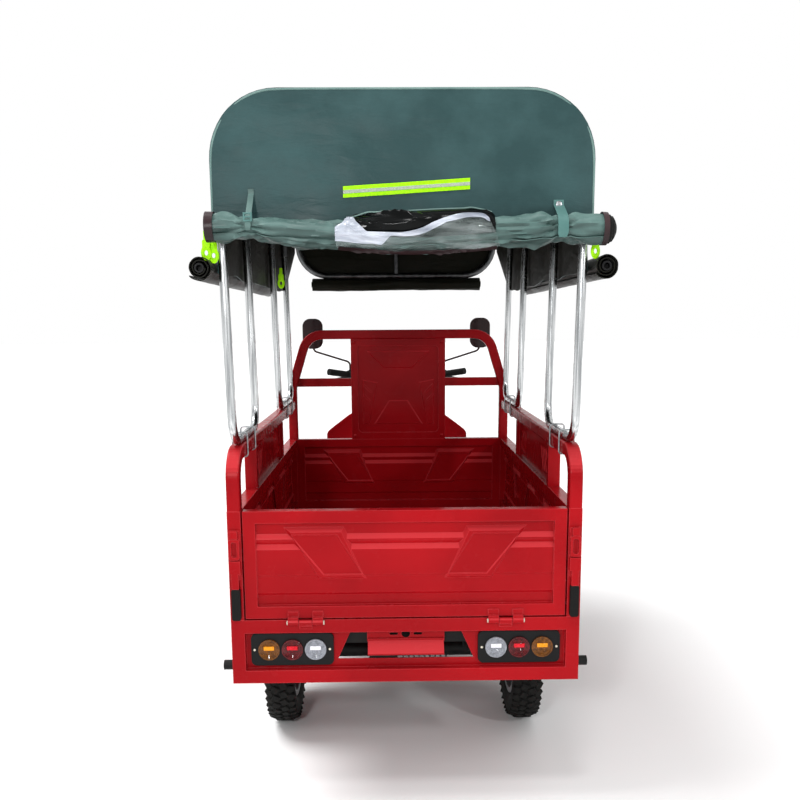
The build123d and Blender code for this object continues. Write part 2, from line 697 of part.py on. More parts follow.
# Chassis: two rails stepped down to the footboard, hangers, down tube, head tube and leg shield stay
STEER_DIR = Vector(0, -sin(radians(RAKE)), cos(radians(RAKE)))
FORK_PLANE = Plane((0, FRONT_AXLE_Y, AXLE_Z), x_dir=(1, 0, 0), z_dir=STEER_DIR)
STEER_SET = (AXLE_Z * tan(radians(RAKE)) - TRAIL) * cos(radians(RAKE))
SHIELD_AXIS_Y = SHIELD_SET - STEER_SET - SHIELD_R
LOW_CROWN = 370
HIGH_CROWN = 620
CROWN_T = 30
CROWN_DEPTH = 40
CROWN_TOP = HIGH_CROWN + CROWN_T
HEAD_GAP = 3
HEAD_FOOT = LOW_CROWN + CROWN_T + HEAD_GAP
HEAD_TOP = HIGH_CROWN - HEAD_GAP
HEAD_MID = (HEAD_FOOT + HEAD_TOP) / 2
FOOT_FRONT_Y = FRONT_AXLE_Y - FOOT_SET
CAB_LENGTH = FOOT_FRONT_Y - BOX_FRONT_Y
STEP_BACK_Y = BOX_FRONT_Y + CAB_STEP[0] * CAB_LENGTH
STEP_FRONT_Y = BOX_FRONT_Y + CAB_STEP[1] * CAB_LENGTH
FOOT_BACK_Y = STEP_FRONT_Y + STEP_BEND
SPRING_R = (SPRING_HALF**2 + SPRING_CAMBER**2) / (2 * SPRING_CAMBER)
SPRING_FOOT_Z = AXLE_Z + AXLE_TUBE_R + SADDLE_H
SPRING_MAIN_Z = SPRING_FOOT_Z + LEAF_COUNT * LEAF_T
SPRING_EYE_Z = SPRING_MAIN_Z + SPRING_CAMBER
HANGER_T = 6
HANGER_GAP = 1
HANGER_FOOT_HALF = 20
HANGER_TOP_HALF = 40
HANGER_DROP = 16
HANGER_PAD_T = 8
HANGER_PIN_OUT = 4
HANGER_X = LEAF_W / 2 + HANGER_GAP + HANGER_T / 2
FRAME_BEAM = 40
# Middles of the frame's cross beams, from the ends of the bed and from the rear axle
FRAME_BEAMS_Y = (FLOOR_BACK_Y + 30, REAR_AXLE_Y - 280, REAR_AXLE_Y + 300, BOX_FRONT_Y - 60)
BORE_OVERRUN = 1


def on_fork(x, y, z):
    """A point given along the fork's own axes, in the vehicle's frame."""
    return FORK_PLANE.from_local_coords(Vector(x, y, z))


def fork_rod(x, y, foot, top, radius):
    """A round bar along the fork, between two heights on the fork's own axis."""
    return rod(tuple(on_fork(x, y, foot)), tuple(on_fork(x, y, top)), radius)


with BuildPart() as main_frame:
    for side in (-1, 1):
        rail_x = side * CHASSIS_RAIL_X
        run = (
            (rail_x, FLOOR_BACK_Y, CHASSIS_Z),
            (rail_x, STEP_BACK_Y, CHASSIS_Z),
            (rail_x, STEP_FRONT_Y, FOOT_Z),
            (rail_x, FOOT_FRONT_Y, FOOT_Z),
        )
        add(bent_tube(run, CHASSIS_RAIL_W, CHASSIS_RAIL_H, STEP_BEND))
        for end in (-1, 1):
            eye_y = REAR_AXLE_Y + end * SPRING_HALF
            for cheek in (-1, 1):
                cheek_x = rail_x + cheek * HANGER_X
                with BuildSketch(Plane.YZ.offset(cheek_x - HANGER_T / 2)):
                    with BuildLine():
                        Polyline(
                            (eye_y - HANGER_FOOT_HALF, SPRING_EYE_Z - HANGER_DROP),
                            (eye_y + HANGER_FOOT_HALF, SPRING_EYE_Z - HANGER_DROP),
                            (eye_y + HANGER_TOP_HALF, CHASSIS_Z),
                            (eye_y - HANGER_TOP_HALF, CHASSIS_Z),
                            close=True,
                        )
                    make_face()
                extrude(amount=HANGER_T)
            reach = HANGER_X + HANGER_T / 2 + HANGER_PIN_OUT
            pin_ends = [(rail_x + across, eye_y, SPRING_EYE_Z) for across in (-reach, reach)]
            add(rod(*pin_ends, SPRING_PIN_R))
            hanger_y = (eye_y - HANGER_TOP_HALF, eye_y + HANGER_TOP_HALF)
            hanger_z = (CHASSIS_Z - CHASSIS_RAIL_H / 2 - HANGER_PAD_T, CHASSIS_Z)
            add(block((rail_x - HANGER_X, rail_x + HANGER_X), hanger_y, hanger_z))
    beam_z = (CHASSIS_Z - FRAME_BEAM / 2, CHASSIS_Z + FRAME_BEAM / 2)
    for beam_y in FRAME_BEAMS_Y:
        beam_span_y = (beam_y - FRAME_BEAM / 2, beam_y + FRAME_BEAM / 2)
        add(block((-CHASSIS_RAIL_X, CHASSIS_RAIL_X), beam_span_y, beam_z))
    front_half = CHASSIS_RAIL_X + CHASSIS_RAIL_W / 2
    front_z = (FOOT_Z - CHASSIS_RAIL_H / 2, FOOT_Z + CHASSIS_RAIL_H / 2)
    add(block((-front_half, front_half), (FOOT_FRONT_Y - FRAME_BEAM, FOOT_FRONT_Y), front_z))
    neck = on_fork(0, -STEER_SET, HEAD_MID)
    add(rod((0, FOOT_FRONT_Y - FRAME_BEAM / 2, FOOT_Z), tuple(neck), DOWN_TUBE_R))
    add(fork_rod(0, -STEER_SET, HEAD_FOOT, HEAD_TOP, HEAD_TUBE_R))
    with BuildSketch(FORK_PLANE.offset(HEAD_MID - SHIELD_STAY_H / 2)):
        with Locations((0, SHIELD_SET / 2 - STEER_SET)):
            Rectangle(SHIELD_STAY_W, SHIELD_SET)
        with Locations((0, SHIELD_AXIS_Y)):
            Circle(SHIELD_R, mode=Mode.INTERSECT)
    extrude(amount=SHIELD_STAY_H)
    bore_z = (HEAD_FOOT - BORE_OVERRUN, HEAD_TOP + BORE_OVERRUN)
    add(fork_rod(0, -STEER_SET, *bore_z, STEERER_R + RUN_GAP), mode=Mode.SUBTRACT)
save(main_frame.part, "main_frame")

# Leaf springs: stacked leaves, each shorter than the one above, with rolled eyes on the top leaf
with BuildPart() as leaf_springs:
    for side in (-1, 1):
        spring_x = side * CHASSIS_RAIL_X
        for number in range(LEAF_COUNT):
            half = SPRING_HALF - number * LEAF_STEP
            top_r = SPRING_R + number * LEAF_T
            low_r = top_r + LEAF_T
            centre_z = SPRING_MAIN_Z + SPRING_R
            with BuildSketch(Plane.YZ.offset(spring_x - LEAF_W / 2)):
                with BuildLine():
                    high_end = centre_z - sqrt(top_r**2 - half**2)
                    low_end = centre_z - sqrt(low_r**2 - half**2)
                    left = REAR_AXLE_Y - half
                    right = REAR_AXLE_Y + half
                    ThreePointArc((left, high_end), (REAR_AXLE_Y, centre_z - top_r), (right, high_end))
                    Line((right, high_end), (right, low_end))
                    ThreePointArc((right, low_end), (REAR_AXLE_Y, centre_z - low_r), (left, low_end))
                    Line((left, low_end), (left, high_end))
                make_face()
            extrude(amount=LEAF_W)
        for end in (-1, 1):
            eye_y = REAR_AXLE_Y + end * SPRING_HALF
            eye_ends = [(spring_x + across, eye_y, SPRING_EYE_Z) for across in (-LEAF_W / 2, LEAF_W / 2)]
            add(rod(*eye_ends, SPRING_EYE_R))
            add(rod(*eye_ends, SPRING_PIN_R + TOUCH_GAP), mode=Mode.SUBTRACT)
save(leaf_springs.part, "leaf_springs")

# Rear axle with gear case, spring saddles and stub shafts
AXLE_HALF = TRACK / 2 - AXLE_END_SET
STUB_END = TRACK / 2 + STUB_OUT
CASE_X = (-120, -20)
MOTOR_Y = REAR_AXLE_Y + MOTOR_SET
with BuildPart() as rear_axle:
    add(rod((-AXLE_HALF, REAR_AXLE_Y, AXLE_Z), (AXLE_HALF, REAR_AXLE_Y, AXLE_Z), AXLE_TUBE_R))
    add(rod((-STUB_END, REAR_AXLE_Y, AXLE_Z), (STUB_END, REAR_AXLE_Y, AXLE_Z), REAR_STUB_R))
    with BuildSketch(Plane.YZ.offset(CASE_X[0])):
        with Locations(((REAR_AXLE_Y + MOTOR_Y) / 2, AXLE_Z)):
            SlotCenterToCenter(MOTOR_Y - REAR_AXLE_Y, 2 * CASE_R)
    extrude(amount=CASE_X[1] - CASE_X[0])
    for side in (-1, 1):
        saddle_x = (side * CHASSIS_RAIL_X - LEAF_W / 2, side * CHASSIS_RAIL_X + LEAF_W / 2)
        saddle_y = (REAR_AXLE_Y - SADDLE_HALF, REAR_AXLE_Y + SADDLE_HALF)
        add(block(saddle_x, saddle_y, (AXLE_Z, SPRING_FOOT_Z - TOUCH_GAP)))
save(rear_axle.part, "rear_axle")
with BuildPart() as drive_motor:
    add(rod((CASE_X[1], MOTOR_Y, AXLE_Z), (CASE_X[1] + MOTOR_LENGTH, MOTOR_Y, AXLE_Z), MOTOR_R))
    for number in range(MOTOR_FINS):
        fin_x = CASE_X[1] + MOTOR_LENGTH * (number + 1) / (MOTOR_FINS + 1)
        add(rod((fin_x, MOTOR_Y, AXLE_Z), (fin_x + FIN_T, MOTOR_Y, AXLE_Z), MOTOR_R + FIN_H))
save(drive_motor.part, "drive_motor")

# Battery tray hung under the chassis rails
BATTERY_SET = 110
BATTERY_LENGTH = 370
BATTERY_DROP = 170
BATTERY_FLANGE = 50
BATTERY_FLANGE_T = 5
BATTERY_Y = (BOX_FRONT_Y - BATTERY_SET - BATTERY_LENGTH, BOX_FRONT_Y - BATTERY_SET)
CHASSIS_FOOT_Z = CHASSIS_TOP_Z - CHASSIS_RAIL_H
BATTERY_HALF = CHASSIS_RAIL_X + CHASSIS_RAIL_W / 2
with BuildPart() as battery_box:
    tray_half = BATTERY_HALF - BATTERY_FLANGE
    add(block((-tray_half, tray_half), BATTERY_Y, (CHASSIS_FOOT_Z - BATTERY_DROP, CHASSIS_FOOT_Z)))
    flange_z = (CHASSIS_FOOT_Z - BATTERY_FLANGE_T, CHASSIS_FOOT_Z)
    add(block((-BATTERY_HALF, BATTERY_HALF), BATTERY_Y, flange_z))
save(battery_box.part, "battery_box")

# Footboard, seat box, cushion and backrest
FOOT_TOP_Z = FOOT_Z + CHASSIS_RAIL_H / 2
with BuildPart() as footboard:
    with BuildSketch(Plane.XY.offset(FOOT_TOP_Z)):
        with Locations((0, (FOOT_BACK_Y + FOOT_FRONT_Y) / 2)):
            RectangleRounded(2 * FOOTBOARD_HALF, FOOT_FRONT_Y - FOOT_BACK_Y, FOOTBOARD_CORNER)
        with Locations((0, FOOT_FRONT_Y)):
            Rectangle(2 * DOWN_TUBE_R + 2 * MOVE_GAP, FOOTBOARD_NOTCH, mode=Mode.SUBTRACT)
    extrude(amount=FOOTBOARD_T)
save(footboard.part, "footboard")
SEAT_BACK_Y = BOX_FRONT_Y + SEAT_SET
SEAT_FRONT_Y = BOX_FRONT_Y + CAB_SEAT * CAB_LENGTH
with BuildPart() as seat_box:
    with BuildSketch(Plane.YZ):
        with BuildLine():
            Polyline(
                (FOOT_BACK_Y, FOOT_TOP_Z + FOOTBOARD_T),
                (SEAT_FRONT_Y - SEAT_BOX_LEAN, FOOT_TOP_Z + FOOTBOARD_T),
                (SEAT_FRONT_Y, SEAT_Z),
                (SEAT_BACK_Y, SEAT_Z),
                (SEAT_BACK_Y, CHASSIS_TOP_Z + SEAT_BOX_BACK_UP),
                close=True,
            )
        make_face()
    extrude(amount=SEAT_BOX_HALF, both=True)
save(seat_box.part, "seat_box")
with BuildPart() as seat_cushion:
    with BuildSketch(Plane.XY.offset(SEAT_Z)):
        with Locations((0, (SEAT_BACK_Y + SEAT_FRONT_Y) / 2)):
            RectangleRounded(2 * SEAT_HALF, SEAT_FRONT_Y - SEAT_BACK_Y, SEAT_CORNER)
    extrude(amount=SEAT_H)
save(seat_cushion.part, "seat_cushion")
with BuildPart() as backrest_pad:
    with BuildSketch(Plane.XZ.offset(-PANEL_FRONT_Y)):
        with Locations((0, WALL_TOP_Z + BACKREST_UP)):
            RectangleRounded(2 * (PANEL_HALF - BACKREST_INSET), BACKREST_H, BACKREST_CORNER)
    extrude(amount=-BACKREST_T)
save(backrest_pad.part, "backrest_pad")

# Leg shield: a curved raked sheet carried on the head tube
SHIELD_HALF = 392
SHIELD_FOOT = 345
SHIELD_TOP = 730
SHIELD_FOOT_CUT = (120, 130)
SHIELD_SHOULDER_DROP = 125
SHIELD_NECK = (130, 40)
SHIELD_TOP_HALF = 150
SHIELD_CORNER = 40
SHIELD_DEPTH = 400
shield_side = (
    (SHIELD_HALF - SHIELD_FOOT_CUT[0], SHIELD_FOOT),
    (SHIELD_HALF, SHIELD_FOOT + SHIELD_FOOT_CUT[1]),
    (SHIELD_HALF, SHIELD_TOP - SHIELD_SHOULDER_DROP),
    (SHIELD_HALF - SHIELD_NECK[0], SHIELD_TOP - SHIELD_NECK[1]),
    (SHIELD_TOP_HALF, SHIELD_TOP),
)
with BuildPart() as leg_shield:
    with BuildSketch(FORK_PLANE.offset(SHIELD_FOOT)):
        with Locations((0, SHIELD_AXIS_Y)):
            Circle(SHIELD_R + SHIELD_T)
            Circle(SHIELD_R, mode=Mode.SUBTRACT)
    extrude(amount=SHIELD_TOP - SHIELD_FOOT)
    shield_face = Plane(FORK_PLANE.origin, x_dir=(1, 0, 0), z_dir=-FORK_PLANE.y_dir)
    with BuildSketch(shield_face):
        with BuildLine():
            other_side = [(-x, up) for x, up in reversed(shield_side)]
            FilletPolyline(*shield_side, *other_side, radius=SHIELD_CORNER, close=True)
        make_face()
    extrude(amount=-SHIELD_DEPTH, mode=Mode.INTERSECT)
save(leg_shield.part, "leg_shield")

# Front fork: sliders, stanchions, two crowns, steerer and wheel spindle
with BuildPart() as front_fork:
    for side in (-1, 1):
        leg_x = side * FORK_HALF
        add(fork_rod(leg_x, 0, SLIDER_FOOT, SLIDER_TOP, SLIDER_R))
        add(fork_rod(leg_x, 0, STANCHION_FOOT, CROWN_TOP, STANCHION_R))
    for crown in (LOW_CROWN, HIGH_CROWN):
        with BuildSketch(FORK_PLANE.offset(crown)):
            Rectangle(2 * FORK_HALF, CROWN_DEPTH)
            with Locations((-FORK_HALF, 0), (FORK_HALF, 0)):
                Circle(SLIDER_R)
            with Locations((0, -STEER_SET)):
                Circle(HEAD_TUBE_R)
        extrude(amount=CROWN_T)
    add(fork_rod(0, -STEER_SET, LOW_CROWN, CROWN_TOP, STEERER_R))
    add(rod(tuple(on_fork(-FORK_HALF, 0, 0)), tuple(on_fork(FORK_HALF, 0, 0)), FRONT_SPINDLE_R))
save(front_fork.part, "front_fork")

# Handlebar on its clamps, grips and levers
bar_mid = on_fork(0, -STEER_SET, CROWN_TOP + BAR_RISE)
BAR_POINTS = (
    (0, 0, 0),
    (95, 0, 0),
    (185, -70, 250),
    (350, -205, 283),
)
bar_half = [bar_mid + Vector(*point) for point in BAR_POINTS]
bar_path = [Vector(-p.X, p.Y, p.Z) for p in reversed(bar_half[1:])] + bar_half[1:]
with BuildPart() as handlebar:
    add(bent_bar([tuple(p) for p in bar_path], BAR_R, BAR_BEND))
    for side in (-1, 1):
        foot = on_fork(side * BAR_CLAMP_X, -STEER_SET, CROWN_TOP)
        head = Vector(side * BAR_CLAMP_X, bar_mid.Y, bar_mid.Z)
        add(rod(tuple(foot), tuple(head), BAR_CLAMP_R))
save(handlebar.part, "handlebar")
GRIP_LENGTH = 120
GRIP_R = 17
GRIP_OVER = 5
grip_run = (bar_half[3] - bar_half[2]).normalized()
grip_start = bar_half[3] - grip_run * (GRIP_LENGTH - GRIP_OVER)
with BuildPart() as hand_grips:
    add(rod(tuple(grip_start), tuple(grip_start + grip_run * GRIP_LENGTH), GRIP_R))
    bore = rod(tuple(grip_start - grip_run), tuple(bar_half[3] + grip_run * TOUCH_GAP), BAR_R + TOUCH_GAP)
    add(bore, mode=Mode.SUBTRACT)
    mirror(about=Plane.YZ)
save(hand_grips.part, "hand_grips")
PERCH_LENGTH = 40
PERCH_R = 21
STEM_BOSS_R = 9
STEM_BOSS_UP = 6
BRAKE_LEVER_ROOT = (0, 22, -10)
BRAKE_LEVER_TIP = (0, 45, -45)
BRAKE_LEVER_R = 6
perch_start = grip_start - grip_run * PERCH_LENGTH
perch_mid = perch_start + grip_run * (PERCH_LENGTH / 2)
stem_foot = perch_mid + Vector(0, 0, PERCH_R + STEM_BOSS_UP)
with BuildPart() as hand_controls:
    add(rod(tuple(perch_start), tuple(grip_start - grip_run), PERCH_R))
    add(rod(tuple(stem_foot - Vector(0, 0, PERCH_R)), tuple(stem_foot), STEM_BOSS_R))
    bore = rod(tuple(perch_start - grip_run), tuple(grip_start + grip_run), BAR_R + TOUCH_GAP)
    add(bore, mode=Mode.SUBTRACT)
    lever_root = perch_mid + Vector(*BRAKE_LEVER_ROOT)
    lever_tip = bar_half[3] + Vector(*BRAKE_LEVER_TIP)
    add(rod(tuple(lever_root), tuple(lever_tip), BRAKE_LEVER_R))
    mirror(about=Plane.YZ)
save(hand_controls.part, "hand_controls")

# Mirrors on thin stems
MIRROR_OUT = 86
MIRROR_AHEAD = 30
MIRROR_UP = 197
MIRROR_MID = bar_half[3] + Vector(MIRROR_OUT, MIRROR_AHEAD, MIRROR_UP)
MIRROR_W = 105
MIRROR_H = 155
MIRROR_T = 34
MIRROR_CORNER = 40
MIRROR_TAPER = 15
MIRROR_RIM = 4
GLASS_T = 3
STEM_R = 5
STEM_BEND = 25
STEM_RISE = 40
STEM_REACH = 90
stem_path = (
    tuple(stem_foot),
    (stem_foot.X, stem_foot.Y, stem_foot.Z + STEM_RISE),
    (MIRROR_MID.X, MIRROR_MID.Y + MIRROR_T, MIRROR_MID.Z - STEM_REACH),
    (MIRROR_MID.X, MIRROR_MID.Y + MIRROR_T, MIRROR_MID.Z),
)
mirror_back = Plane((MIRROR_MID.X, MIRROR_MID.Y, MIRROR_MID.Z), x_dir=(1, 0, 0), z_dir=(0, 1, 0))
with BuildPart() as mirrors:
    add(bent_bar(stem_path, STEM_R, STEM_BEND))
    with BuildSketch(mirror_back):
        RectangleRounded(MIRROR_W, MIRROR_H, MIRROR_CORNER)
    extrude(amount=MIRROR_T, taper=MIRROR_TAPER)
    mirror(about=Plane.YZ)
save(mirrors.part, "mirrors")
with BuildPart() as mirror_glass:
    with BuildSketch(mirror_back):
        glass_size = (MIRROR_W - 2 * MIRROR_RIM, MIRROR_H - 2 * MIRROR_RIM)
        RectangleRounded(*glass_size, MIRROR_CORNER - MIRROR_RIM)
    extrude(amount=-GLASS_T)
    mirror(about=Plane.YZ)
save(mirror_glass.part, "mirror_glass")

# Front mudguard over the tyre, lugged to the sliders
FENDER_GAP = 28
FENDER_T = 3
FENDER_HALF = 57
FENDER_CROWN = 14
FENDER_ARC = (34, 160)
FENDER_LUG_UP = 225
FENDER_LUG_HALF = 15
FENDER_LUG_Z = (-10, 75)
FENDER_FOOT_R = TYRE_R + FENDER_GAP
with BuildPart() as front_fender:
    fender_turn = radians(FENDER_ARC[0])
    fender_start = Plane(
        (0, FRONT_AXLE_Y, AXLE_Z),
        x_dir=(1, 0, 0),
        z_dir=(0, -sin(fender_turn), cos(fender_turn)),
    )
    with BuildSketch(fender_start):
        with BuildLine():
            for foot_r in (FENDER_FOOT_R, FENDER_FOOT_R + FENDER_T):
                ThreePointArc((-FENDER_HALF, foot_r), (0, foot_r + FENDER_CROWN), (FENDER_HALF, foot_r))
            for edge_x in (-FENDER_HALF, FENDER_HALF):
                Line((edge_x, FENDER_FOOT_R), (edge_x, FENDER_FOOT_R + FENDER_T))
        make_face()
    revolve(axis=Axis((0, FRONT_AXLE_Y, AXLE_Z), (1, 0, 0)), revolution_arc=FENDER_ARC[1] - FENDER_ARC[0])
    lug = on_fork(0, 0, FENDER_LUG_UP)
    lug_y = (lug.Y - FENDER_LUG_HALF, lug.Y + FENDER_LUG_HALF)
    for side in (-1, 1):
        lug_x = sorted((side * (FENDER_HALF - FENDER_T), side * (FORK_HALF - SLIDER_R - TOUCH_GAP)))
        add(block(lug_x, lug_y, (lug.Z + FENDER_LUG_Z[0], lug.Z + FENDER_LUG_Z[1])))
save(front_fender.part, "front_fender")

# Wheels. Tyre shoulder columns: inset from the tyre's side, drop below its tread.
TYRE_SHOULDER = ((0, 45), (3, 18), (16, 4))
TYRE_BEAD_H = 3
TREAD_HALF = 15
TYRE_SECTION = (
    (BEAD_W / 2, RIM_R + TOUCH_GAP),
    (BEAD_W / 2, RIM_R + RIM_FLANGE + TYRE_BEAD_H),
    *[(TYRE_W / 2 - inset, TYRE_R - drop) for inset, drop in TYRE_SHOULDER],
    (TREAD_HALF, TYRE_R),
)
FRONT_HUB_HALF = 54
REAR_HUB_HALF = 46


def make_wheel(x, y, hub_half, bore_r):
    """A tyre and its dished steel rim on a hub, turning about X."""
    axis = Axis((0, y, AXLE_Z), (1, 0, 0))
    face = Plane((x, y, AXLE_Z), x_dir=(1, 0, 0), z_dir=(0, -1, 0))
    with BuildPart() as tyre:
        with BuildSketch(face):
            with BuildLine():
                Polyline(*TYRE_SECTION, *[(-w, r) for w, r in reversed(TYRE_SECTION)], close=True)
            make_face()
        revolve(axis=axis)
    seat_w = BEAD_W / 2 + TOUCH_GAP
    half_section = (
        (seat_w, RIM_R),
        (seat_w, RIM_R + RIM_FLANGE),
        (seat_w + RIM_LIP, RIM_R + RIM_FLANGE),
        (seat_w + RIM_LIP, RIM_R - RIM_WALL),
        (DISC_HALF, RIM_R - RIM_WALL),
        (DISC_HALF, DISC_FOOT_R),
        (hub_half - HUB_NOSE, HUB_R),
        (hub_half, HUB_R - HUB_NOSE),
        (hub_half, bore_r),
    )
    with BuildPart() as rim:
        with BuildSketch(face):
            with BuildLine():
                Polyline(*half_section, *[(-w, r) for w, r in reversed(half_section)], close=True)
            make_face()
        revolve(axis=axis)
        with BuildSketch(Plane((x - DISC_HALF, y, AXLE_Z), x_dir=(0, 1, 0), z_dir=(1, 0, 0))):
            with PolarLocations(DISC_HOLE_PLACE, DISC_HOLES):
                Circle(DISC_HOLE_R)
        extrude(amount=2 * DISC_HALF, mode=Mode.SUBTRACT)
    return tyre.part, rim.part


WHEELS = (
    ("front", 0, FRONT_AXLE_Y, FRONT_HUB_HALF, FRONT_SPINDLE_R + RUN_GAP),
    ("rear_left", -TRACK / 2, REAR_AXLE_Y, REAR_HUB_HALF, REAR_STUB_R + RUN_GAP),
    ("rear_right", TRACK / 2, REAR_AXLE_Y, REAR_HUB_HALF, REAR_STUB_R + RUN_GAP),
)
for name, x, y, hub_half, bore_r in WHEELS:
    tyre, rim = make_wheel(x, y, hub_half, bore_r)
    save(tyre, f"{name}_tyre")
    save(rim, f"{name}_rim")

# Canopy bows: U-shaped tubes standing on the guard rails
BOW_SPANS = ((30, 445), (1050, 1465))
with BuildPart() as canopy_bows_right:
    for back, front in BOW_SPANS:
        bow = (
            (BOW_X, TAIL_Y + back, BOW_TOP_Z - 2 * TOUCH_GAP),
            (BOW_FOOT_X, TAIL_Y + back, BOW_FOOT_Z),
            (BOW_FOOT_X, TAIL_Y + front, BOW_FOOT_Z),
            (BOW_X, TAIL_Y + front, BOW_TOP_Z - 2 * TOUCH_GAP),
        )
        add(bent_bar(bow, BOW_R, BOW_BEND))
save(canopy_bows_right.part, "canopy_bows_right")
save(mirror(canopy_bows_right.part, about=Plane.YZ), "canopy_bows_left")

# Canopy frame: four arches, three purlins and the front ring with its middle strut
ARCH_BEND = CANOPY_CORNER - CLOTH_T - TOUCH_GAP - BOW_R
RING_Y = CANOPY_FRONT_Y - BOW_R - TOUCH_GAP
RING_FOOT_Z = FRONT_PANEL_Z + BOW_R + TOUCH_GAP
PURLIN_Z = CANOPY_TOP_Z - PURLIN_DROP
with BuildPart() as canopy_frame:
    for span in BOW_SPANS:
        for place in span:
            arch = (
                (-BOW_X, TAIL_Y + place, BOW_TOP_Z),
                (-BOW_X, TAIL_Y + place, ARCH_Z),
                (BOW_X, TAIL_Y + place, ARCH_Z),
                (BOW_X, TAIL_Y + place, BOW_TOP_Z),
            )
            add(bent_bar(arch, BOW_R, ARCH_BEND))
    half_ring = bent_bar(
        (
            (0, RING_Y, RING_FOOT_Z),
            (BOW_X, RING_Y, RING_FOOT_Z),
            (BOW_X, RING_Y, ARCH_Z),
            (0, RING_Y, ARCH_Z),
        ),
        BOW_R,
        [FRONT_CORNER - BOW_R, ARCH_BEND],
    )
    add(half_ring)
    add(mirror(half_ring, about=Plane.YZ, mode=Mode.PRIVATE))
    for purlin_x, purlin_z in ((-BOW_X, PURLIN_Z), (0, ARCH_Z), (BOW_X, PURLIN_Z)):
        add(rod((purlin_x, TAIL_Y + BOW_SPANS[0][0], purlin_z), (purlin_x, RING_Y, purlin_z), PURLIN_R))
    add(rod((0, RING_Y, RING_FOOT_Z), (0, RING_Y, ARCH_Z), PURLIN_R))
save(canopy_frame.part, "canopy_frame")

# Canopy cover: a long sheet over the arches, with rear and front end panels


def arch_face(half, foot_z, top_z, corner, y):
    """An upright face across the vehicle with a straight foot and two round top corners."""
    with BuildSketch(Plane.XZ.offset(-y)) as face:
        with BuildLine():
            FilletPolyline((-half, foot_z), (-half, top_z), (half, top_z), (half, foot_z), radius=corner)
            Line((half, foot_z), (-half, foot_z))
        make_face()
    return face.sketch


SKIRT_RISE_Y = TAIL_Y + SKIRT_LENGTH
with BuildPart() as canopy_roof:
    extrude(arch_face(CANOPY_HALF, EAVE_Z, CANOPY_TOP_Z, CANOPY_CORNER, TAIL_Y), amount=-CANOPY_LENGTH)
    inside = arch_face(
        CANOPY_HALF - CLOTH_T,
        EAVE_Z - CLOTH_T,
        CANOPY_TOP_Z - CLOTH_T,
        CANOPY_CORNER - CLOTH_T,
        TAIL_Y,
    )
    extrude(inside, amount=-CANOPY_LENGTH, mode=Mode.SUBTRACT)
    with BuildSketch(Plane.YZ):
        with BuildLine():
            Polyline(
                (SKIRT_RISE_Y, EAVE_Z),
                (CANOPY_FRONT_Y, EAVE_Z),
                (CANOPY_FRONT_Y, FRONT_PANEL_Z + FRONT_CORNER),
                close=True,
            )
        make_face()
    extrude(amount=CANOPY_HALF, both=True, mode=Mode.SUBTRACT)
save(canopy_roof.part, "canopy_roof")
with BuildPart() as canopy_rear_panel:
    extrude(arch_face(CANOPY_HALF, REAR_PANEL_Z, CANOPY_TOP_Z, CANOPY_CORNER, TAIL_Y), amount=CLOTH_T)
save(canopy_rear_panel.part, "canopy_rear_panel")
with BuildPart() as canopy_front_panel:
    with BuildSketch(Plane.XZ.offset(-CANOPY_FRONT_Y)):
        with BuildLine():
            FilletPolyline(
                (-CANOPY_HALF, FRONT_PANEL_Z),
                (CANOPY_HALF, FRONT_PANEL_Z),
                (CANOPY_HALF, CANOPY_TOP_Z),
                (-CANOPY_HALF, CANOPY_TOP_Z),
                radius=[FRONT_CORNER, FRONT_CORNER, CANOPY_CORNER, CANOPY_CORNER],
                close=True,
            )
        make_face()
    extrude(amount=-CLOTH_T)
save(canopy_front_panel.part, "canopy_front_panel")

# Rolled curtains hung on the cover: rear flap, two sides and front flap
REAR_ROLL_OUT = (15, 55)
REAR_ROLL_UP = 17
SIDE_ROLL_UP = 15
SIDE_ROLL_SPAN = (-12, 1330)
FRONT_ROLL_INSET = 107
REAR_ROLL_X = (-CANOPY_HALF - REAR_ROLL_OUT[0], CANOPY_HALF + REAR_ROLL_OUT[1])
REAR_ROLL_Z = REAR_PANEL_Z + REAR_ROLL_UP
SIDE_ROLL_Z = EAVE_Z + SIDE_ROLL_UP
FRONT_ROLL_HALF = CANOPY_HALF - FRONT_ROLL_INSET
REAR_ROLL_Y = TAIL_Y - CLOTH_T - TOUCH_GAP - REAR_ROLL_R
SIDE_ROLL_X = CANOPY_HALF + TOUCH_GAP + SIDE_ROLL_R
FRONT_ROLL_Z = RING_FOOT_Z - BOW_R - TOUCH_GAP - FRONT_ROLL_R
with BuildPart() as rear_curtain_roll:
    ends = [(end_x, REAR_ROLL_Y, REAR_ROLL_Z) for end_x in REAR_ROLL_X]
    add(rod(*ends, REAR_ROLL_R))
save(rear_curtain_roll.part, "rear_curtain_roll")
with BuildPart() as side_curtain_rolls:
    for side in (-1, 1):
        roll_x = side * SIDE_ROLL_X
        ends = [(roll_x, TAIL_Y + place, SIDE_ROLL_Z) for place in SIDE_ROLL_SPAN]
        add(rod(*ends, SIDE_ROLL_R))
save(side_curtain_rolls.part, "side_curtain_rolls")
with BuildPart() as front_curtain_roll:
    ends = [(end_x, RING_Y, FRONT_ROLL_Z) for end_x in (-FRONT_ROLL_HALF, FRONT_ROLL_HALF)]
    add(rod(*ends, FRONT_ROLL_R))
save(front_curtain_roll.part, "front_curtain_roll")

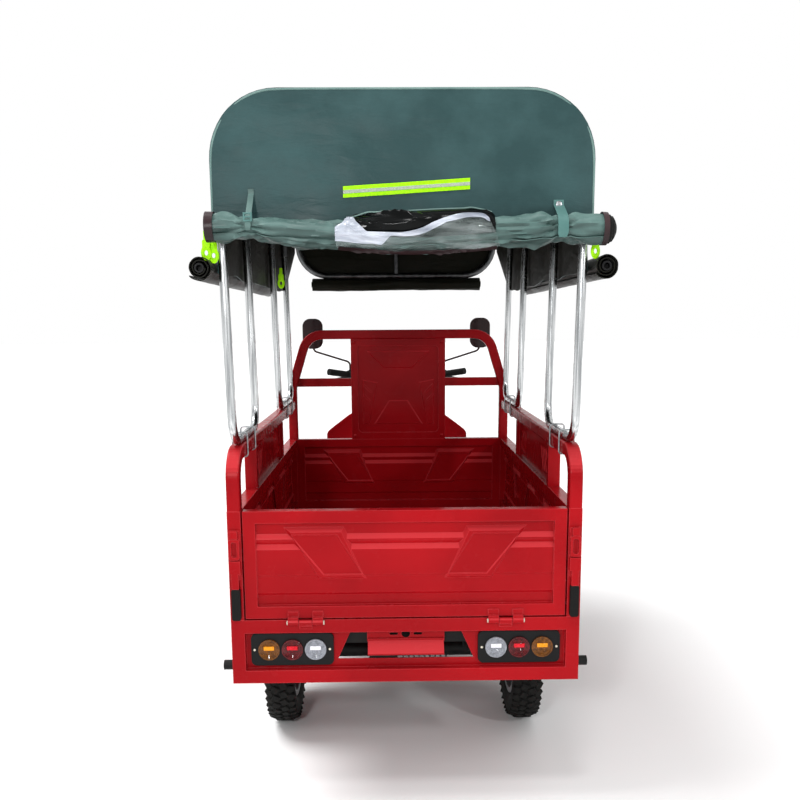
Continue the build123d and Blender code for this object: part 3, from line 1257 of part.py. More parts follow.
# Wire clamps tied round the bows' feet and the guard rails
CLAMP_PLACES = (150, 295, 1175, 1340)
CLAMP_WIRE_R = 2.5
CLAMP_REACH = CLAMP_WIRE_R + 2 * TOUCH_GAP
CLAMP_BEND = TUBE_EDGE + CLAMP_REACH
CLAMP_X = (RAIL_X - SIDE_T / 2 - CLAMP_REACH, RAIL_X + SIDE_T / 2 + CLAMP_REACH)
CLAMP_Z = (RAIL_FOOT_Z - CLAMP_REACH, BOW_FOOT_Z + BOW_R + CLAMP_REACH)
with BuildPart() as bow_clamps:
    for place in CLAMP_PLACES:
        clamp_plane = Plane.XZ.offset(-TAIL_Y - place)
        with BuildLine(clamp_plane) as loop:
            foot = [(x, CLAMP_Z[0]) for x in CLAMP_X]
            head = [(x, CLAMP_Z[1]) for x in reversed(CLAMP_X)]
            FilletPolyline(*foot, *head, radius=CLAMP_BEND, close=True)
        with BuildSketch(Plane(loop.line @ 0, z_dir=loop.line % 0)):
            Circle(CLAMP_WIRE_R)
        sweep(path=loop.line)
    mirror(about=Plane.YZ)
save(bow_clamps.part, "bow_clamps")

# Headlamp on the leg shield and the foot brake pedal
HEADLAMP_R = 78
HEADLAMP_T = 70
HEADLAMP_FLARE = 4
HEADLAMP_UP = 590
lamp_seat = on_fork(0, SHIELD_SET - STEER_SET + SHIELD_T + TOUCH_GAP, HEADLAMP_UP)
with BuildPart() as headlamp:
    with BuildSketch(Plane(lamp_seat, x_dir=(1, 0, 0), z_dir=FORK_PLANE.y_dir)):
        Circle(HEADLAMP_R)
    extrude(amount=HEADLAMP_T, taper=-HEADLAMP_FLARE)
save(headlamp.part, "headlamp")
PEDAL_X = 150
PEDAL_SET = 60
PEDAL_ARM_R = 8
# Ends of the pedal's arm, forward and up, then its pad and foot: half width, back, front, low, high
PEDAL_ARM = ((0, 4), (-30, 90))
PEDAL_BLOCKS = ((35, -75, -15, 84, 96), (15, -15, 15, 0, 6))
PEDAL_Y = FOOT_FRONT_Y - PEDAL_SET
PEDAL_Z = FOOT_TOP_Z + FOOTBOARD_T
with BuildPart() as brake_pedal:
    arm_ends = [(PEDAL_X, PEDAL_Y + ahead, PEDAL_Z + up) for ahead, up in PEDAL_ARM]
    add(rod(*arm_ends, PEDAL_ARM_R))
    for half, back, front, low, high in PEDAL_BLOCKS:
        span_x = (PEDAL_X - half, PEDAL_X + half)
        add(block(span_x, (PEDAL_Y + back, PEDAL_Y + front), (PEDAL_Z + low, PEDAL_Z + high)))
save(brake_pedal.part, "brake_pedal")
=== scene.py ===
"""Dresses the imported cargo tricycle: enamel, rubber, lamps, seat and canopy cloth, in a plain studio."""

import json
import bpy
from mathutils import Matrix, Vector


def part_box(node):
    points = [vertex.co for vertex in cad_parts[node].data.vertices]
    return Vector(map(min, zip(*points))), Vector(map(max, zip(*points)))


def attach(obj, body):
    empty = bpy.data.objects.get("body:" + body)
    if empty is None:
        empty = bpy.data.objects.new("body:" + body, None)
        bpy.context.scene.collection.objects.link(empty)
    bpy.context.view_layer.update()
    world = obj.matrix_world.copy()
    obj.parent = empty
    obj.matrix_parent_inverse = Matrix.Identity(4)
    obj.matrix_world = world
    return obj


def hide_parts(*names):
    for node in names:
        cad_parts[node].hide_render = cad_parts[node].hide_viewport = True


bl_info = {
    "name": "Cargo Tricycle Dressing",
    "version": (1, 0, 0),
    "blender": (4, 5, 0),
    "location": "View3D > Sidebar > Tricycle",
    "description": "Finishes the packed cargo tricycle and sets up its studio",
    "category": "Object",
}

from math import atan2, cos, exp, hypot, pi, sin, tan

import bmesh
import bpy
from bpy.props import FloatProperty, FloatVectorProperty, IntProperty, PointerProperty
from bpy.types import Operator, Panel, PropertyGroup
from mathutils import Matrix, Vector, noise

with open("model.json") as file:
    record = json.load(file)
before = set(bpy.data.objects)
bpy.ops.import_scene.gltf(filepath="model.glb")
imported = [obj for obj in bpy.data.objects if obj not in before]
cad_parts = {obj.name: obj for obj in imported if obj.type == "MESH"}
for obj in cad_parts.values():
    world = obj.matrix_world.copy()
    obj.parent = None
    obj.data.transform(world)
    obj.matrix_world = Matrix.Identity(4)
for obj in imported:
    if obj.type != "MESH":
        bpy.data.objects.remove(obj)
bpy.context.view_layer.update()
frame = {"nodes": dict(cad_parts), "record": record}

MM = 0.001
# The tail's face lies this far behind the front of the lamp plates.
PLATES_IN = 0.022
TAIL_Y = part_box("tail_lamp_plates")[1].y - PLATES_IN
# Points this close to a plane count as lying on it, and points this close to each other are welded.
CLEAR = 0.0006
WELD = 0.00005
# A face whose normal has this much of a direction counts as facing it.
FACING = 0.9
# Cloth and cord stay smooth over edges up to this many degrees.
CLOTH_EDGE = 60


def linear(code):
    """An sRGB hex code as linear red, green, blue and alpha."""
    parts = [int(code[place:place + 2], 16) / 255 for place in (1, 3, 5)]
    return tuple(p / 12.92 if p <= 0.04045 else ((p + 0.055) / 1.055) ** 2.4 for p in parts) + (1.0,)


def length_prop(name, text, default):
    """A length that a user may change, in metres."""
    return FloatProperty(name=name, description=text, default=default, unit="LENGTH", precision=4)


def colour_prop(name, text, code):
    """A colour that a user may change, from its sRGB hex code."""
    return FloatVectorProperty(
        name=name, description=text, default=linear(code), subtype="COLOR", size=4, min=0.0, max=1.0
    )


class TricycleColours(PropertyGroup):
    """Colours of the finishes."""

    enamel: colour_prop("Enamel", "Gloss body colour", "#A50F17")
    enamel_deep: colour_prop("Deep enamel", "Body colour where the coat is thicker", "#930B13")
    # Painted highlight: the pale red that the enamel mixes in on edges and on upward slopes.
    enamel_edge: colour_prop("Enamel edge", "Body colour where the coat gleams on an edge", "#DB4349")
    canvas: colour_prop("Canvas", "Coated cover cloth", "#2A4344")
    canvas_faded: colour_prop("Faded canvas", "Cover cloth where it is rubbed", "#365253")
    # Partly the curtains' own dark coat and partly painted shade: kept darker for the shade inside the
    # canopy and in the rolls.
    lining: colour_prop("Lining", "Dark side and front curtains", "#14150F")
    binding: colour_prop("Binding", "Webbing sewn round the curtain edges", "#2B1A1D")
    tube: colour_prop("Tube", "Bright drawn tube", "#DDDFE0")


class TricycleSizes(PropertyGroup):
    """Sizes of the dressed pieces."""

    cloth: length_prop("Cloth", "Thickness of the cover cloth", 0.0022)
    roof_sag: length_prop("Roof sag", "How far the roof hangs between two arches", 0.012)
    crease: length_prop("Crease", "Height of the folds in the rear panel", 0.0075)
    piping: length_prop("Piping", "Radius of the corded seam round the rear panel", 0.003)
    tread: length_prop("Tread", "Depth of the tyre's tread", 0.007)
    lugs: IntProperty(name="Lugs", description="Tread blocks round a tyre", default=44, min=12)


def put(tree, kind, sockets=None, stops=(), **settings):
    """Adds a shader node, sets its properties and ramp stops, and fills or links its sockets.

    A node that is given for a socket stands for its first output.
    """
    made = tree.nodes.new("ShaderNode" + kind)
    for name, value in settings.items():
        setattr(made, name, value)
    for name, value in (sockets or {}).items():
        if isinstance(value, bpy.types.Node):
            value = value.outputs[0]
        if isinstance(value, bpy.types.NodeSocket):
            tree.links.new(value, made.inputs[name])
        else:
            made.inputs[name].default_value = value
    for number, (place, colour) in enumerate(stops):
        if number > 1:
            made.color_ramp.elements.new(place)
        made.color_ramp.elements[number].position = place
        made.color_ramp.elements[number].color = colour
    return made


def start_material(name):
    """A new material with an empty node tree."""
    material = bpy.data.materials.new(name)
    material.use_nodes = True
    material.node_tree.nodes.clear()
    return material, material.node_tree


def shaded(material, **values):
    """Ends a material with its one shader, whose sockets get values or links by name."""
    tree = material.node_tree
    sockets = {key.replace("_", " "): value for key, value in values.items()}
    shader = put(tree, "BsdfPrincipled", sockets)
    put(tree, "OutputMaterial", {"Surface": shader})
    return material


def per_metre(*millimetres):
    """A pattern's scale from the real size of its features, on one axis or on three."""
    scales = tuple(1 / (size * MM) for size in millimetres)
    return scales if len(scales) > 1 else scales[0]


def grey(value):
    """A grey ramp colour that stands for a plain number."""
    return (value, value, value, 1.0)


def red_enamel(colours):
    """Gloss alkyd enamel sprayed on pressed steel: a deep red and orange peel, with a painted highlight in
    pale red on its edges and on slopes that face up.
    """
    material, tree = start_material("red_enamel")
    place = put(tree, "TexCoord").outputs["Object"]
    cloud = put(tree, "TexNoise", {"Vector": place, "Scale": per_metre(260), "Detail": 3.0})
    tone = put(
        tree, "ValToRGB", {"Fac": cloud}, stops=((0.35, colours.enamel_deep), (0.65, colours.enamel))
    )
    # Painted highlight: edges, found from the bevelled normal, and slopes that face up turn towards the
    # pale red.
    edge = put(tree, "Bevel", {"Radius": 0.0035}, samples=6)
    flat = put(tree, "NewGeometry").outputs["True Normal"]
    bend = put(tree, "VectorMath", {0: edge, 1: flat}, operation="DOT_PRODUCT").outputs["Value"]
    thin = put(
        tree, "MapRange",
        {"Value": bend, "From Min": 0.985, "From Max": 0.84, "To Min": 0.0, "To Max": 0.7},
    )
    rise = put(tree, "SeparateXYZ", {"Vector": flat}).outputs["Z"]
    slope = put(
        tree, "ValToRGB", {"Fac": rise},
        stops=((0.15, grey(0.0)), (0.5, grey(0.55)), (0.8, grey(0.45)), (0.98, grey(0.06))),
    )
    most = put(tree, "Math", {0: thin, 1: slope}, operation="MAXIMUM")
    coat = put(tree, "Mix", {"Factor": most, 6: tone, 7: colours.enamel_edge}, data_type="RGBA")
    scuff = put(tree, "TexNoise", {"Vector": place, "Scale": per_metre(60), "Detail": 6.0})
    gloss = put(tree, "ValToRGB", {"Fac": scuff}, stops=((0.4, grey(0.2)), (0.75, grey(0.32))))
    peel = put(tree, "TexNoise", {"Vector": place, "Scale": per_metre(9), "Detail": 1.0})
    bump = put(tree, "Bump", {"Height": peel, "Normal": edge, "Strength": 0.05, "Distance": 0.001})
    return shaded(
        material, Base_Color=coat.outputs[2], Roughness=gloss, Normal=bump,
        Specular_IOR_Level=0.06, Coat_Weight=0.02, Coat_Roughness=0.05,
    )


def speckled(name, dark, pale, grain_mm, rough, bump_mm, shine=0.15, **values):
    """A surface whose colour, roughness and bump follow one grain, such as moulded plastic or paint."""
    material, tree = start_material(name)
    place = put(tree, "TexCoord").outputs["Object"]
    grain = put(tree, "TexNoise", {"Vector": place, "Scale": per_metre(grain_mm), "Detail": 4.0})
    tone = put(tree, "ValToRGB", {"Fac": grain}, stops=((0.35, linear(dark)), (0.7, linear(pale))))
    gloss = put(tree, "ValToRGB", {"Fac": grain}, stops=((0.3, grey(rough[0])), (0.7, grey(rough[1]))))
    edge = put(tree, "Bevel", {"Radius": 0.0015}, samples=4)
    bump = put(
        tree, "Bump", {"Height": grain, "Normal": edge, "Strength": 0.35, "Distance": bump_mm * MM}
    )
    return shaded(
        material, Base_Color=tone, Roughness=gloss, Normal=bump, Specular_IOR_Level=shine, **values
    )


def bright_tube(colours):
    """Galvanised drawn tube: a bright metal with fine lengthwise streaks and dull patches."""
    material, tree = start_material("galvanised_steel")
    place = put(tree, "TexCoord").outputs["Object"]
    drawn = put(tree, "Mapping", {"Vector": place, "Scale": per_metre(5, 5, 160)})
    streak = put(tree, "TexNoise", {"Vector": drawn, "Scale": 1.0, "Detail": 3.0})
    patch = put(tree, "TexNoise", {"Vector": place, "Scale": per_metre(90), "Detail": 5.0})
    tone = put(tree, "ValToRGB", {"Fac": streak}, stops=((0.3, linear("#8C8F91")), (0.7, colours.tube)))
    gloss = put(tree, "ValToRGB", {"Fac": patch}, stops=((0.3, grey(0.14)), (0.7, grey(0.3))))
    return shaded(material, Base_Color=tone, Roughness=gloss, Metallic=1.0)


def coated_canvas(name, fresh, rubbed, thread_mm=2.4, shine=0.25, crumple_depth=0.008, underside=1.0):
    """Polyester canvas with a plastic coat: a dull sheen, a fine weave, small creases and rubbed patches.

    Faces that point down keep only a share of the colour's brightness, as painted shade.
    """
    material, tree = start_material(name)
    place = put(tree, "TexCoord").outputs["Object"]
    worn = put(
        tree, "TexNoise", {"Vector": place, "Scale": per_metre(150), "Detail": 7.0, "Roughness": 0.6}
    )
    tone = put(tree, "ValToRGB", {"Fac": worn}, stops=((0.4, fresh), (0.72, rubbed)))
    gloss = put(tree, "ValToRGB", {"Fac": worn}, stops=((0.35, grey(0.34)), (0.7, grey(0.52))))
    # One wave of the pattern is 2 pi / 20 of its scaled coordinate.
    wave = 2 * pi / 20 * per_metre(thread_mm)
    warp, weft = (
        put(tree, "TexWave", {"Vector": place, "Scale": wave}, bands_direction=way).outputs["Fac"]
        for way in "XZ"
    )
    weave = put(tree, "Math", {0: warp, 1: weft}, operation="MULTIPLY")
    fine = put(tree, "Bump", {"Height": weave, "Strength": 0.12, "Distance": 0.0004})
    stretched = put(tree, "Mapping", {"Vector": place, "Scale": per_metre(120, 120, 35)})
    crumple = put(
        tree, "TexNoise", {"Vector": stretched, "Scale": 1.0, "Detail": 4.0, "Distortion": 0.6}
    )
    creased = put(
        tree, "Bump", {"Height": crumple, "Normal": fine, "Strength": 0.35, "Distance": crumple_depth}
    )
    # Painted shade: the colour darkens on faces that point down.
    normal = put(tree, "NewGeometry").outputs["Normal"]
    facing = put(tree, "SeparateXYZ", {"Vector": normal}).outputs["Z"]
    faded = put(
        tree, "MapRange",
        {"Value": facing, "From Min": -0.8, "From Max": 0.35, "To Min": underside, "To Max": 1.0},
    )
    colour = put(tree, "VectorMath", {"Vector": tone, "Scale": faded}, operation="SCALE")
    return shaded(
        material, Base_Color=colour, Roughness=gloss, Normal=creased, Sheen_Weight=0.02,
        Sheen_Roughness=0.5, Specular_IOR_Level=shine,
    )


def lens_plastic(name, dark, pale):
    """Moulded acrylic lamp lens: a deep dyed gloss, cloudy like thick plastic, ringed by its prisms."""
    material, tree = start_material(name)
    place = put(tree, "TexCoord").outputs["Object"]
    cloud = put(tree, "TexNoise", {"Vector": place, "Scale": per_metre(9), "Detail": 2.0})
    tone = put(tree, "ValToRGB", {"Fac": cloud}, stops=((0.35, linear(dark)), (0.65, linear(pale))))
    return shaded(
        material, Base_Color=tone, Roughness=0.1, IOR=1.49, Transmission_Weight=0.1,
        Specular_IOR_Level=0.2, Coat_Weight=0.05,
    )


def clear_vinyl(name, dark, pale, veil_low, veil_high):
    """Soft clear vinyl film: almost colourless and glossy, with paler, less clear streaks that are partly
    the milkiness of its folds and partly painted reflection.
    """
    material, tree = start_material(name)
    place = put(tree, "TexCoord").outputs["Object"]
    # Painted reflection in part: stretched streaks of noise turn the vinyl paler and less clear.
    drawn = put(tree, "Mapping", {"Vector": place, "Scale": per_metre(110, 60, 24)})
    milky = put(
        tree, "TexNoise", {"Vector": drawn, "Scale": 1.0, "Detail": 2.0, "Distortion": 0.8}
    )
    tone, veil = (
        put(tree, "ValToRGB", {"Fac": milky}, stops=((0.35, low), (0.65, high)))
        for low, high in ((linear(dark), linear(pale)), (grey(veil_low), grey(veil_high)))
    )
    return shaded(
        material, Base_Color=tone, Alpha=veil, Roughness=0.14, IOR=1.53, Specular_IOR_Level=0.3,
        Coat_Weight=0.1,
    )


def studio_floor():
    """Matt white paper: it takes the shadow and is white where the light falls on it."""
    material, tree = start_material("white_paper")
    return shaded(material, Roughness=1.0, Specular_IOR_Level=0.0, Base_Color=linear("#FFFFFF"))


def clear_selection():
    """Leaves object mode with nothing selected."""
    if bpy.context.object and bpy.context.object.mode != "OBJECT":
        bpy.ops.object.mode_set(mode="OBJECT")
    bpy.ops.object.select_all(action="DESELECT")


def take(piece):
    """Makes one piece the only selected and active object."""
    clear_selection()
    piece.select_set(True)
    bpy.context.view_layer.objects.active = piece
    return piece


def named(name):
    """Names the newest object, applies its place to its mesh and gives it back."""
    piece = bpy.context.object
    piece.name = name
    piece.data.name = name
    bpy.ops.object.transform_apply(location=True, rotation=True, scale=True)
    return piece


def finish_modifier(piece, kind, **settings):
    """Adds a modifier with its settings and applies it."""
    take(piece)
    modifier = piece.modifiers.new(kind.lower(), kind)
    for name, value in settings.items():
        setattr(modifier, name, value)
    bpy.ops.object.modifier_apply(modifier=modifier.name)
    return piece


def add_block(name, low, high, round_edge=0.0, segments=2):
    """A box between two corners, with its edges rounded."""
    clear_selection()
    low, high = Vector(low), Vector(high)
    bpy.ops.mesh.primitive_cube_add(size=1, location=(low + high) / 2)
    bpy.context.object.scale = high - low
    piece = named(name)
    if round_edge:
        finish_modifier(piece, "BEVEL", width=round_edge, segments=segments)
    return piece


def add_drum(name, start, end, radius, vertices, round_edge=0.0):
    """A round bar between two points, with its rims rounded."""
    clear_selection()
    start, end = Vector(start), Vector(end)
    run = end - start
    bpy.ops.mesh.primitive_cylinder_add(
        vertices=vertices, radius=radius, depth=run.length, location=(start + end) / 2,
        rotation=run.to_track_quat("Z", "Y").to_euler(),
    )
    piece = named(name)
    if round_edge:
        finish_modifier(piece, "BEVEL", width=round_edge, segments=2, limit_method="ANGLE")
    return piece


def add_cord(name, points, radius):
    """A round cord along points, as a mesh."""
    clear_selection()
    path = bpy.data.curves.new(name, "CURVE")
    path.dimensions = "3D"
    path.bevel_depth = radius
    path.bevel_resolution = 3
    path.use_fill_caps = True
    spline = path.splines.new("NURBS")
    spline.points.add(len(points) - 1)
    for point, place in zip(spline.points, points):
        point.co = (*place, 1.0)
    spline.order_u = 3
    spline.use_endpoint_u = True
    piece = bpy.data.objects.new(name, path)
    bpy.context.scene.collection.objects.link(piece)
    take(piece)
    bpy.ops.object.convert(target="MESH")
    return soften(named(name), CLOTH_EDGE)


def add_sheet(name, columns, rows, place, thickness, offset=0.0):
    """A thin sheet whose points are laid out by place(across, along), both from 0 to 1."""
    clear_selection()
    bpy.ops.mesh.primitive_grid_add(x_subdivisions=columns, y_subdivisions=rows, size=1)
    piece = named(name)
    for point in piece.data.vertices:
        point.co = place(point.co.x + 0.5, point.co.y + 0.5)
    return finish_modifier(piece, "SOLIDIFY", thickness=thickness, offset=offset)


def mend(piece):
    """Welds the points that meet and turns all faces outward."""
    take(piece)
    bpy.ops.object.mode_set(mode="EDIT")
    bpy.ops.mesh.select_all(action="SELECT")
    bpy.ops.mesh.remove_doubles(threshold=WELD)
    bpy.ops.mesh.normals_make_consistent(inside=False)
    bpy.ops.object.mode_set(mode="OBJECT")
    return piece


def spun(name, outline, centre, axis, count=48):
    """A closed outline of places along an axis and radii, turned round that axis through a centre."""
    axis = Vector(axis).normalized()
    out = axis.orthogonal().normalized()
    clear_selection()
    bpy.ops.mesh.primitive_circle_add(vertices=len(outline), radius=1)
    piece = named(name)
    for point, (along, radius) in zip(piece.data.vertices, outline):
        point.co = Vector(centre) + axis * along + out * radius
    bpy.ops.object.mode_set(mode="EDIT")
    bpy.ops.mesh.select_all(action="SELECT")
    bpy.ops.mesh.spin(steps=count, angle=2 * pi, center=centre, axis=axis)
    return mend(piece)


def join(name, pieces):
    """Joins pieces into the first of them."""
    take(pieces[0])
    for piece in pieces[1:]:
        piece.select_set(True)
    bpy.ops.object.join()
    pieces[0].name = name
    pieces[0].data.name = name
    return pieces[0]


def copy_of(piece, name, matrix):
    """A copy with its own mesh, moved by a matrix."""
    made = bpy.data.objects.new(name, piece.data.copy())
    bpy.context.scene.collection.objects.link(made)
    made.data.transform(matrix)
    return made


def pick(kind, test):
    """In edit mode, selects the edges or faces that pass a test, and nothing else."""
    bpy.ops.mesh.select_mode(type=kind)
    bpy.ops.mesh.select_all(action="DESELECT")
    mesh = bmesh.from_edit_mesh(bpy.context.object.data)
    for item in mesh.edges if kind == "EDGE" else mesh.faces:
        if test(item):
            item.select_set(True)
    mesh.select_flush_mode()
    bmesh.update_edit_mesh(bpy.context.object.data)


def cut_rows(piece, axis, places):
    """Cuts the whole mesh across an axis at each place, so that it can bend there."""
    take(piece)
    bpy.ops.object.mode_set(mode="EDIT")
    normal = Vector([1.0 if number == axis else 0.0 for number in range(3)])
    for place in places:
        bpy.ops.mesh.select_all(action="SELECT")
        bpy.ops.mesh.bisect(plane_co=normal * place, plane_no=normal)
    bpy.ops.object.mode_set(mode="OBJECT")


def trim(piece, faces, point, outward):
    """Cuts away what the chosen faces have beyond a plane."""
    take(piece)
    bpy.ops.object.mode_set(mode="EDIT")
    pick("FACE", faces)
    bpy.ops.mesh.bisect(plane_co=point, plane_no=outward, clear_outer=True)
    bpy.ops.object.mode_set(mode="OBJECT")


def steps(low, high, pitch):
    """Even places between two limits, about a pitch apart, without the ends."""
    count = max(1, round((high - low) / pitch))
    return [low + (high - low) * number / count for number in range(1, count)]


def between(ends, part):
    """The place at a share of the way between two ends."""
    return ends[0] + (ends[1] - ends[0]) * part


def clamped(value):
    """A value kept between 0 and 1."""
    return max(0.0, min(1.0, value))


def eased(part):
    """A share from 0 to 1 that starts and ends gently."""
    return part * part * (3 - 2 * part)


def ridge(place, sharpness):
    """Noise with narrow crests, from 0 to 1."""
    return (1 - abs(noise.noise(place))) ** sharpness


def reshape(piece, move):
    """Moves each vertex by a rule."""
    for point in piece.data.vertices:
        point.co = move(point.co.copy())


def soften(piece, degrees=35):
    """Shades a piece smooth, with its sharp edges kept."""
    take(piece)
    bpy.ops.object.shade_smooth_by_angle(angle=degrees * pi / 180)
    return piece


def wear(piece, slot, finish=None, nodes=(), body="chassis"):
    """Gives a piece its body and, if it has none, a material by its finish or else its slot, and hides the
    solids it stands for.
    """
    if not piece.data.materials:
        piece.data.materials.append(MATERIALS[finish or slot])
    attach(piece, body)
    if nodes:
        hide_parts(*nodes)
    return piece


MATERIALS = {}
# The finish of each node: that of its material slot, apart from some that have one of their own
NODE_FINISHES = {part["node"]: part["material_slot"] for part in frame["record"]["subparts"]} | {
    "mirrors": "shell",
    # The canopy frame is darkened as painted shade.
    "canopy_frame": "frame_tube",
    "lashing_pegs": "black_paint",
    "headlamp": "clear_lens",
}


class TRICYCLE_OT_finishes(Operator):
    """Makes the materials and gives one to each solid that stays in view"""

    bl_idname = "tricycle.finishes"
    bl_label = "Finishes"

    def execute(self, context):
        colours = context.scene.tricycle_colours
        MATERIALS.update(
            red_paint=red_enamel(colours),
            # Satin chassis paint: nearly black, with a dry brown dust.
            black_paint=speckled("satin_chassis_paint", "#0E0E0F", "#1D1B19", 30, (0.38, 0.6), 0.2),
            # Silver wheel enamel: pale grey, slightly grainy.
            wheel_paint=speckled(
                "silver_wheel_enamel", "#7E8184", "#9B9EA1", 4, (0.3, 0.45), 0.05, Metallic=0.6
            ),
            # Oiled spring steel: dark, streaked, half gloss.
            spring_steel=speckled(
                "oiled_spring_steel", "#17171A", "#2A2825", 18, (0.35, 0.6), 0.2, Metallic=0.7
            ),
            # Cast aluminium: dull and slightly pitted.
            motor_alloy=speckled(
                "cast_aluminium", "#7A7C7E", "#A9ABAD", 3, (0.42, 0.62), 0.25, Metallic=1.0
            ),
            # Zinc plate: grey metal with a soft shine.
            zinc_steel=speckled(
                "zinc_plated_steel", "#85878A", "#B4B6B8", 8, (0.25, 0.42), 0.05, Metallic=1.0
            ),
            galvanised_tube=bright_tube(colours),
            # Galvanised tube inside the canopy: dull and grey, made dark as painted shade.
            frame_tube=speckled(
                "weathered_galvanised_steel", "#47494A", "#6A6C6D", 30, (0.35, 0.55), 0.1, Metallic=1.0
            ),
            # Moulded polypropylene: black with a fine matt grain.
            black_plastic=speckled("moulded_polypropylene", "#0C0C0D", "#171718", 1.6, (0.42, 0.6), 0.12),
            # Moulded rubber: black and dull.
            black_rubber=speckled("moulded_rubber", "#0B0B0B", "#161615", 2.5, (0.6, 0.8), 0.15),
            # Tyre rubber: dull black with a grey bloom.
            tyre_rubber=speckled("tyre_rubber", "#101010", "#22211F", 14, (0.7, 0.9), 0.2),
            # Seat vinyl: black, pebbled like leather.
            seat_vinyl=speckled("seat_vinyl", "#0D0D0E", "#1A1A1B", 3.5, (0.35, 0.5), 0.5),
            # Mirror glass: a dark red-brown gloss, smooth as glass, where a bright mirror would be.
            mirror_silver=speckled(
                "tinted_mirror_glass", "#1E0708", "#2B0B0C", 120, (0.08, 0.14), 0.0, Coat_Weight=0.2
            ),
            # Mirror shell: dark red-brown gloss plastic.
            shell=speckled(
                "gloss_mirror_shell", "#250A0A", "#320E0D", 20, (0.25, 0.35), 0.05, Coat_Weight=0.1
            ),
            green_canvas=coated_canvas("coated_canvas", colours.canvas, colours.canvas_faded, shine=0.14),
            black_canvas=coated_canvas(
                "dark_curtain_canvas", colours.lining, linear("#1B1A14"), shine=0.06
            ),
            # The roll's canvas: paler than the cover, partly as its own reverse side and partly as painted
            # light on the roll's upper face; darker underneath as painted shade.
            reverse=coated_canvas(
                "canvas_reverse_side", linear("#48635F"), linear("#5F7D78"),
                shine=0.3, crumple_depth=0.003, underside=0.4,
            ),
            # Painted shade: the binding darkens underneath.
            binding=coated_canvas(
                "webbing_binding", colours.binding, linear("#3A2528"), thread_mm=4, underside=0.4
            ),
            strap=coated_canvas("pale_strap_canvas", linear("#466E6A"), linear("#567D79")),
            piping=coated_canvas("corded_piping", linear("#5F7B77"), linear("#77918B"), thread_mm=4),
            # High visibility tape: a flat loud yellow-green.
            bright=speckled("high_visibility_tape", "#93E000", "#B4FF0A", 5, (0.4, 0.55), 0.1),
            # Glass-bead tape: a grey that looks grainy.
            beads=speckled("glass_bead_tape", "#8E9A86", "#C2CABB", 2, (0.3, 0.5), 0.1),
            amber_lens=lens_plastic("amber_acrylic", "#54300C", "#7A4812"),
            red_lens=lens_plastic("red_acrylic", "#420B0E", "#651318"),
            clear_lens=lens_plastic("clear_acrylic", "#83868D", "#9DA0A9"),
            # Prism bars moulded into the lenses: coloured brighter and flatter than the lens round them,
            # as a painted highlight.
            amber_bar=speckled("amber_prism", "#E08A12", "#F5A52A", 6, (0.1, 0.2), 0.1),
            stop_bar=speckled("red_prism", "#C41522", "#E22634", 6, (0.1, 0.2), 0.1),
            clear_bar=speckled("clear_prism", "#DFDFE6", "#F4F4FA", 6, (0.1, 0.2), 0.1),
            # Hinge pins and screws without paint: a creamy pale metal.
            pin=speckled("bare_pin_steel", "#C4BDAD", "#DCD5C5", 4, (0.3, 0.45), 0.05, Metallic=0.3),
            # Vacuum-plated reflector: mirror bright.
            chrome=speckled(
                "bright_reflector", "#C8C9CA", "#E2E3E4", 10, (0.05, 0.12), 0.02, Metallic=1.0
            ),
            # The film and its crease: pale streaks, partly milky vinyl and partly painted reflection.
            film=clear_vinyl("clear_vinyl", "#7F8E8B", "#A9B4B4", 0.10, 0.30),
            milky=clear_vinyl("creased_clear_vinyl", "#A9B1BF", "#D3D8E3", 0.66, 0.92),
            # The window's dark sheet: glossy and nearly black, painted shade in the fold of the rolled
            # window.
            gloss=speckled(
                "black_vinyl_backing", "#030404", "#080A0B", 40, (0.1, 0.18), 0.2, shine=0.1
            ),
        )
        for node, finish in NODE_FINISHES.items():
            solid = frame["nodes"][node]
            solid.data.materials.clear()
            solid.data.materials.append(MATERIALS[finish])
        return {"FINISHED"}


ROOF_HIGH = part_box("canopy_roof")[1]
PANEL_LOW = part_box("canopy_rear_panel")[0]
# Arches that hold the cover, by their places ahead of the tail; round corners; start of the slanted skirt
ARCH_PLACES = (0.030, 0.445, 1.050, 1.465, 2.0887)
ARCH_CORNER = 0.180
FRONT_CORNER = 0.165
SKIRT_RISE = 1.560
# The cover's mesh: pitch of its rows across, along and up, facets of an arch's corner and of a front one
COVER_PITCH = (0.022, 0.055, 0.022)
ARCH_FACETS = 12
CORNER_CUTS = 9
RIM_FACETS = 6
# Rear panel: widths at its sides and top that are held flat, height of its loose foot
PANEL_HELD = (0.07, 0.09)
PANEL_FOOT = 0.16
# Front panel: depth of its folds, their limit and bias, the ring's width, the fade of the folds inside it
FRONT_FOLD = 0.0045
FRONT_FOLD_TOP = 1.1
FRONT_FOLD_BIAS = 0.6
RING_WIDTH = 0.030
RING_FADE = 0.06
# Roof: half width of the strip that the ridge tube holds up, share of the sag lost at the sides, ripple
RIDGE_HALF = 0.13
SAG_LOST = 0.3
ROOF_RIPPLE = 0.002
# Skirts: slack between two arches and its wave, height and rise of the wavy hem
SKIRT_SLACK = 0.0035
SKIRT_WAVE = 0.0015
HEM_HEIGHT = 0.12
HEM_RISE = 0.012


def side_of(x):
    """1 on the vehicle's right and -1 on its left."""
    return 1 if x > 0 else -1


def slack_between(place):
    """How loose the cloth is along the vehicle: 0 on an arch and 1 half way to the next."""
    for back, front in zip(ARCH_PLACES, ARCH_PLACES[1:]):
        if back <= place <= front:
            part = (place - back) / (front - back)
            return 4 * part * (1 - part)
    return 0.0


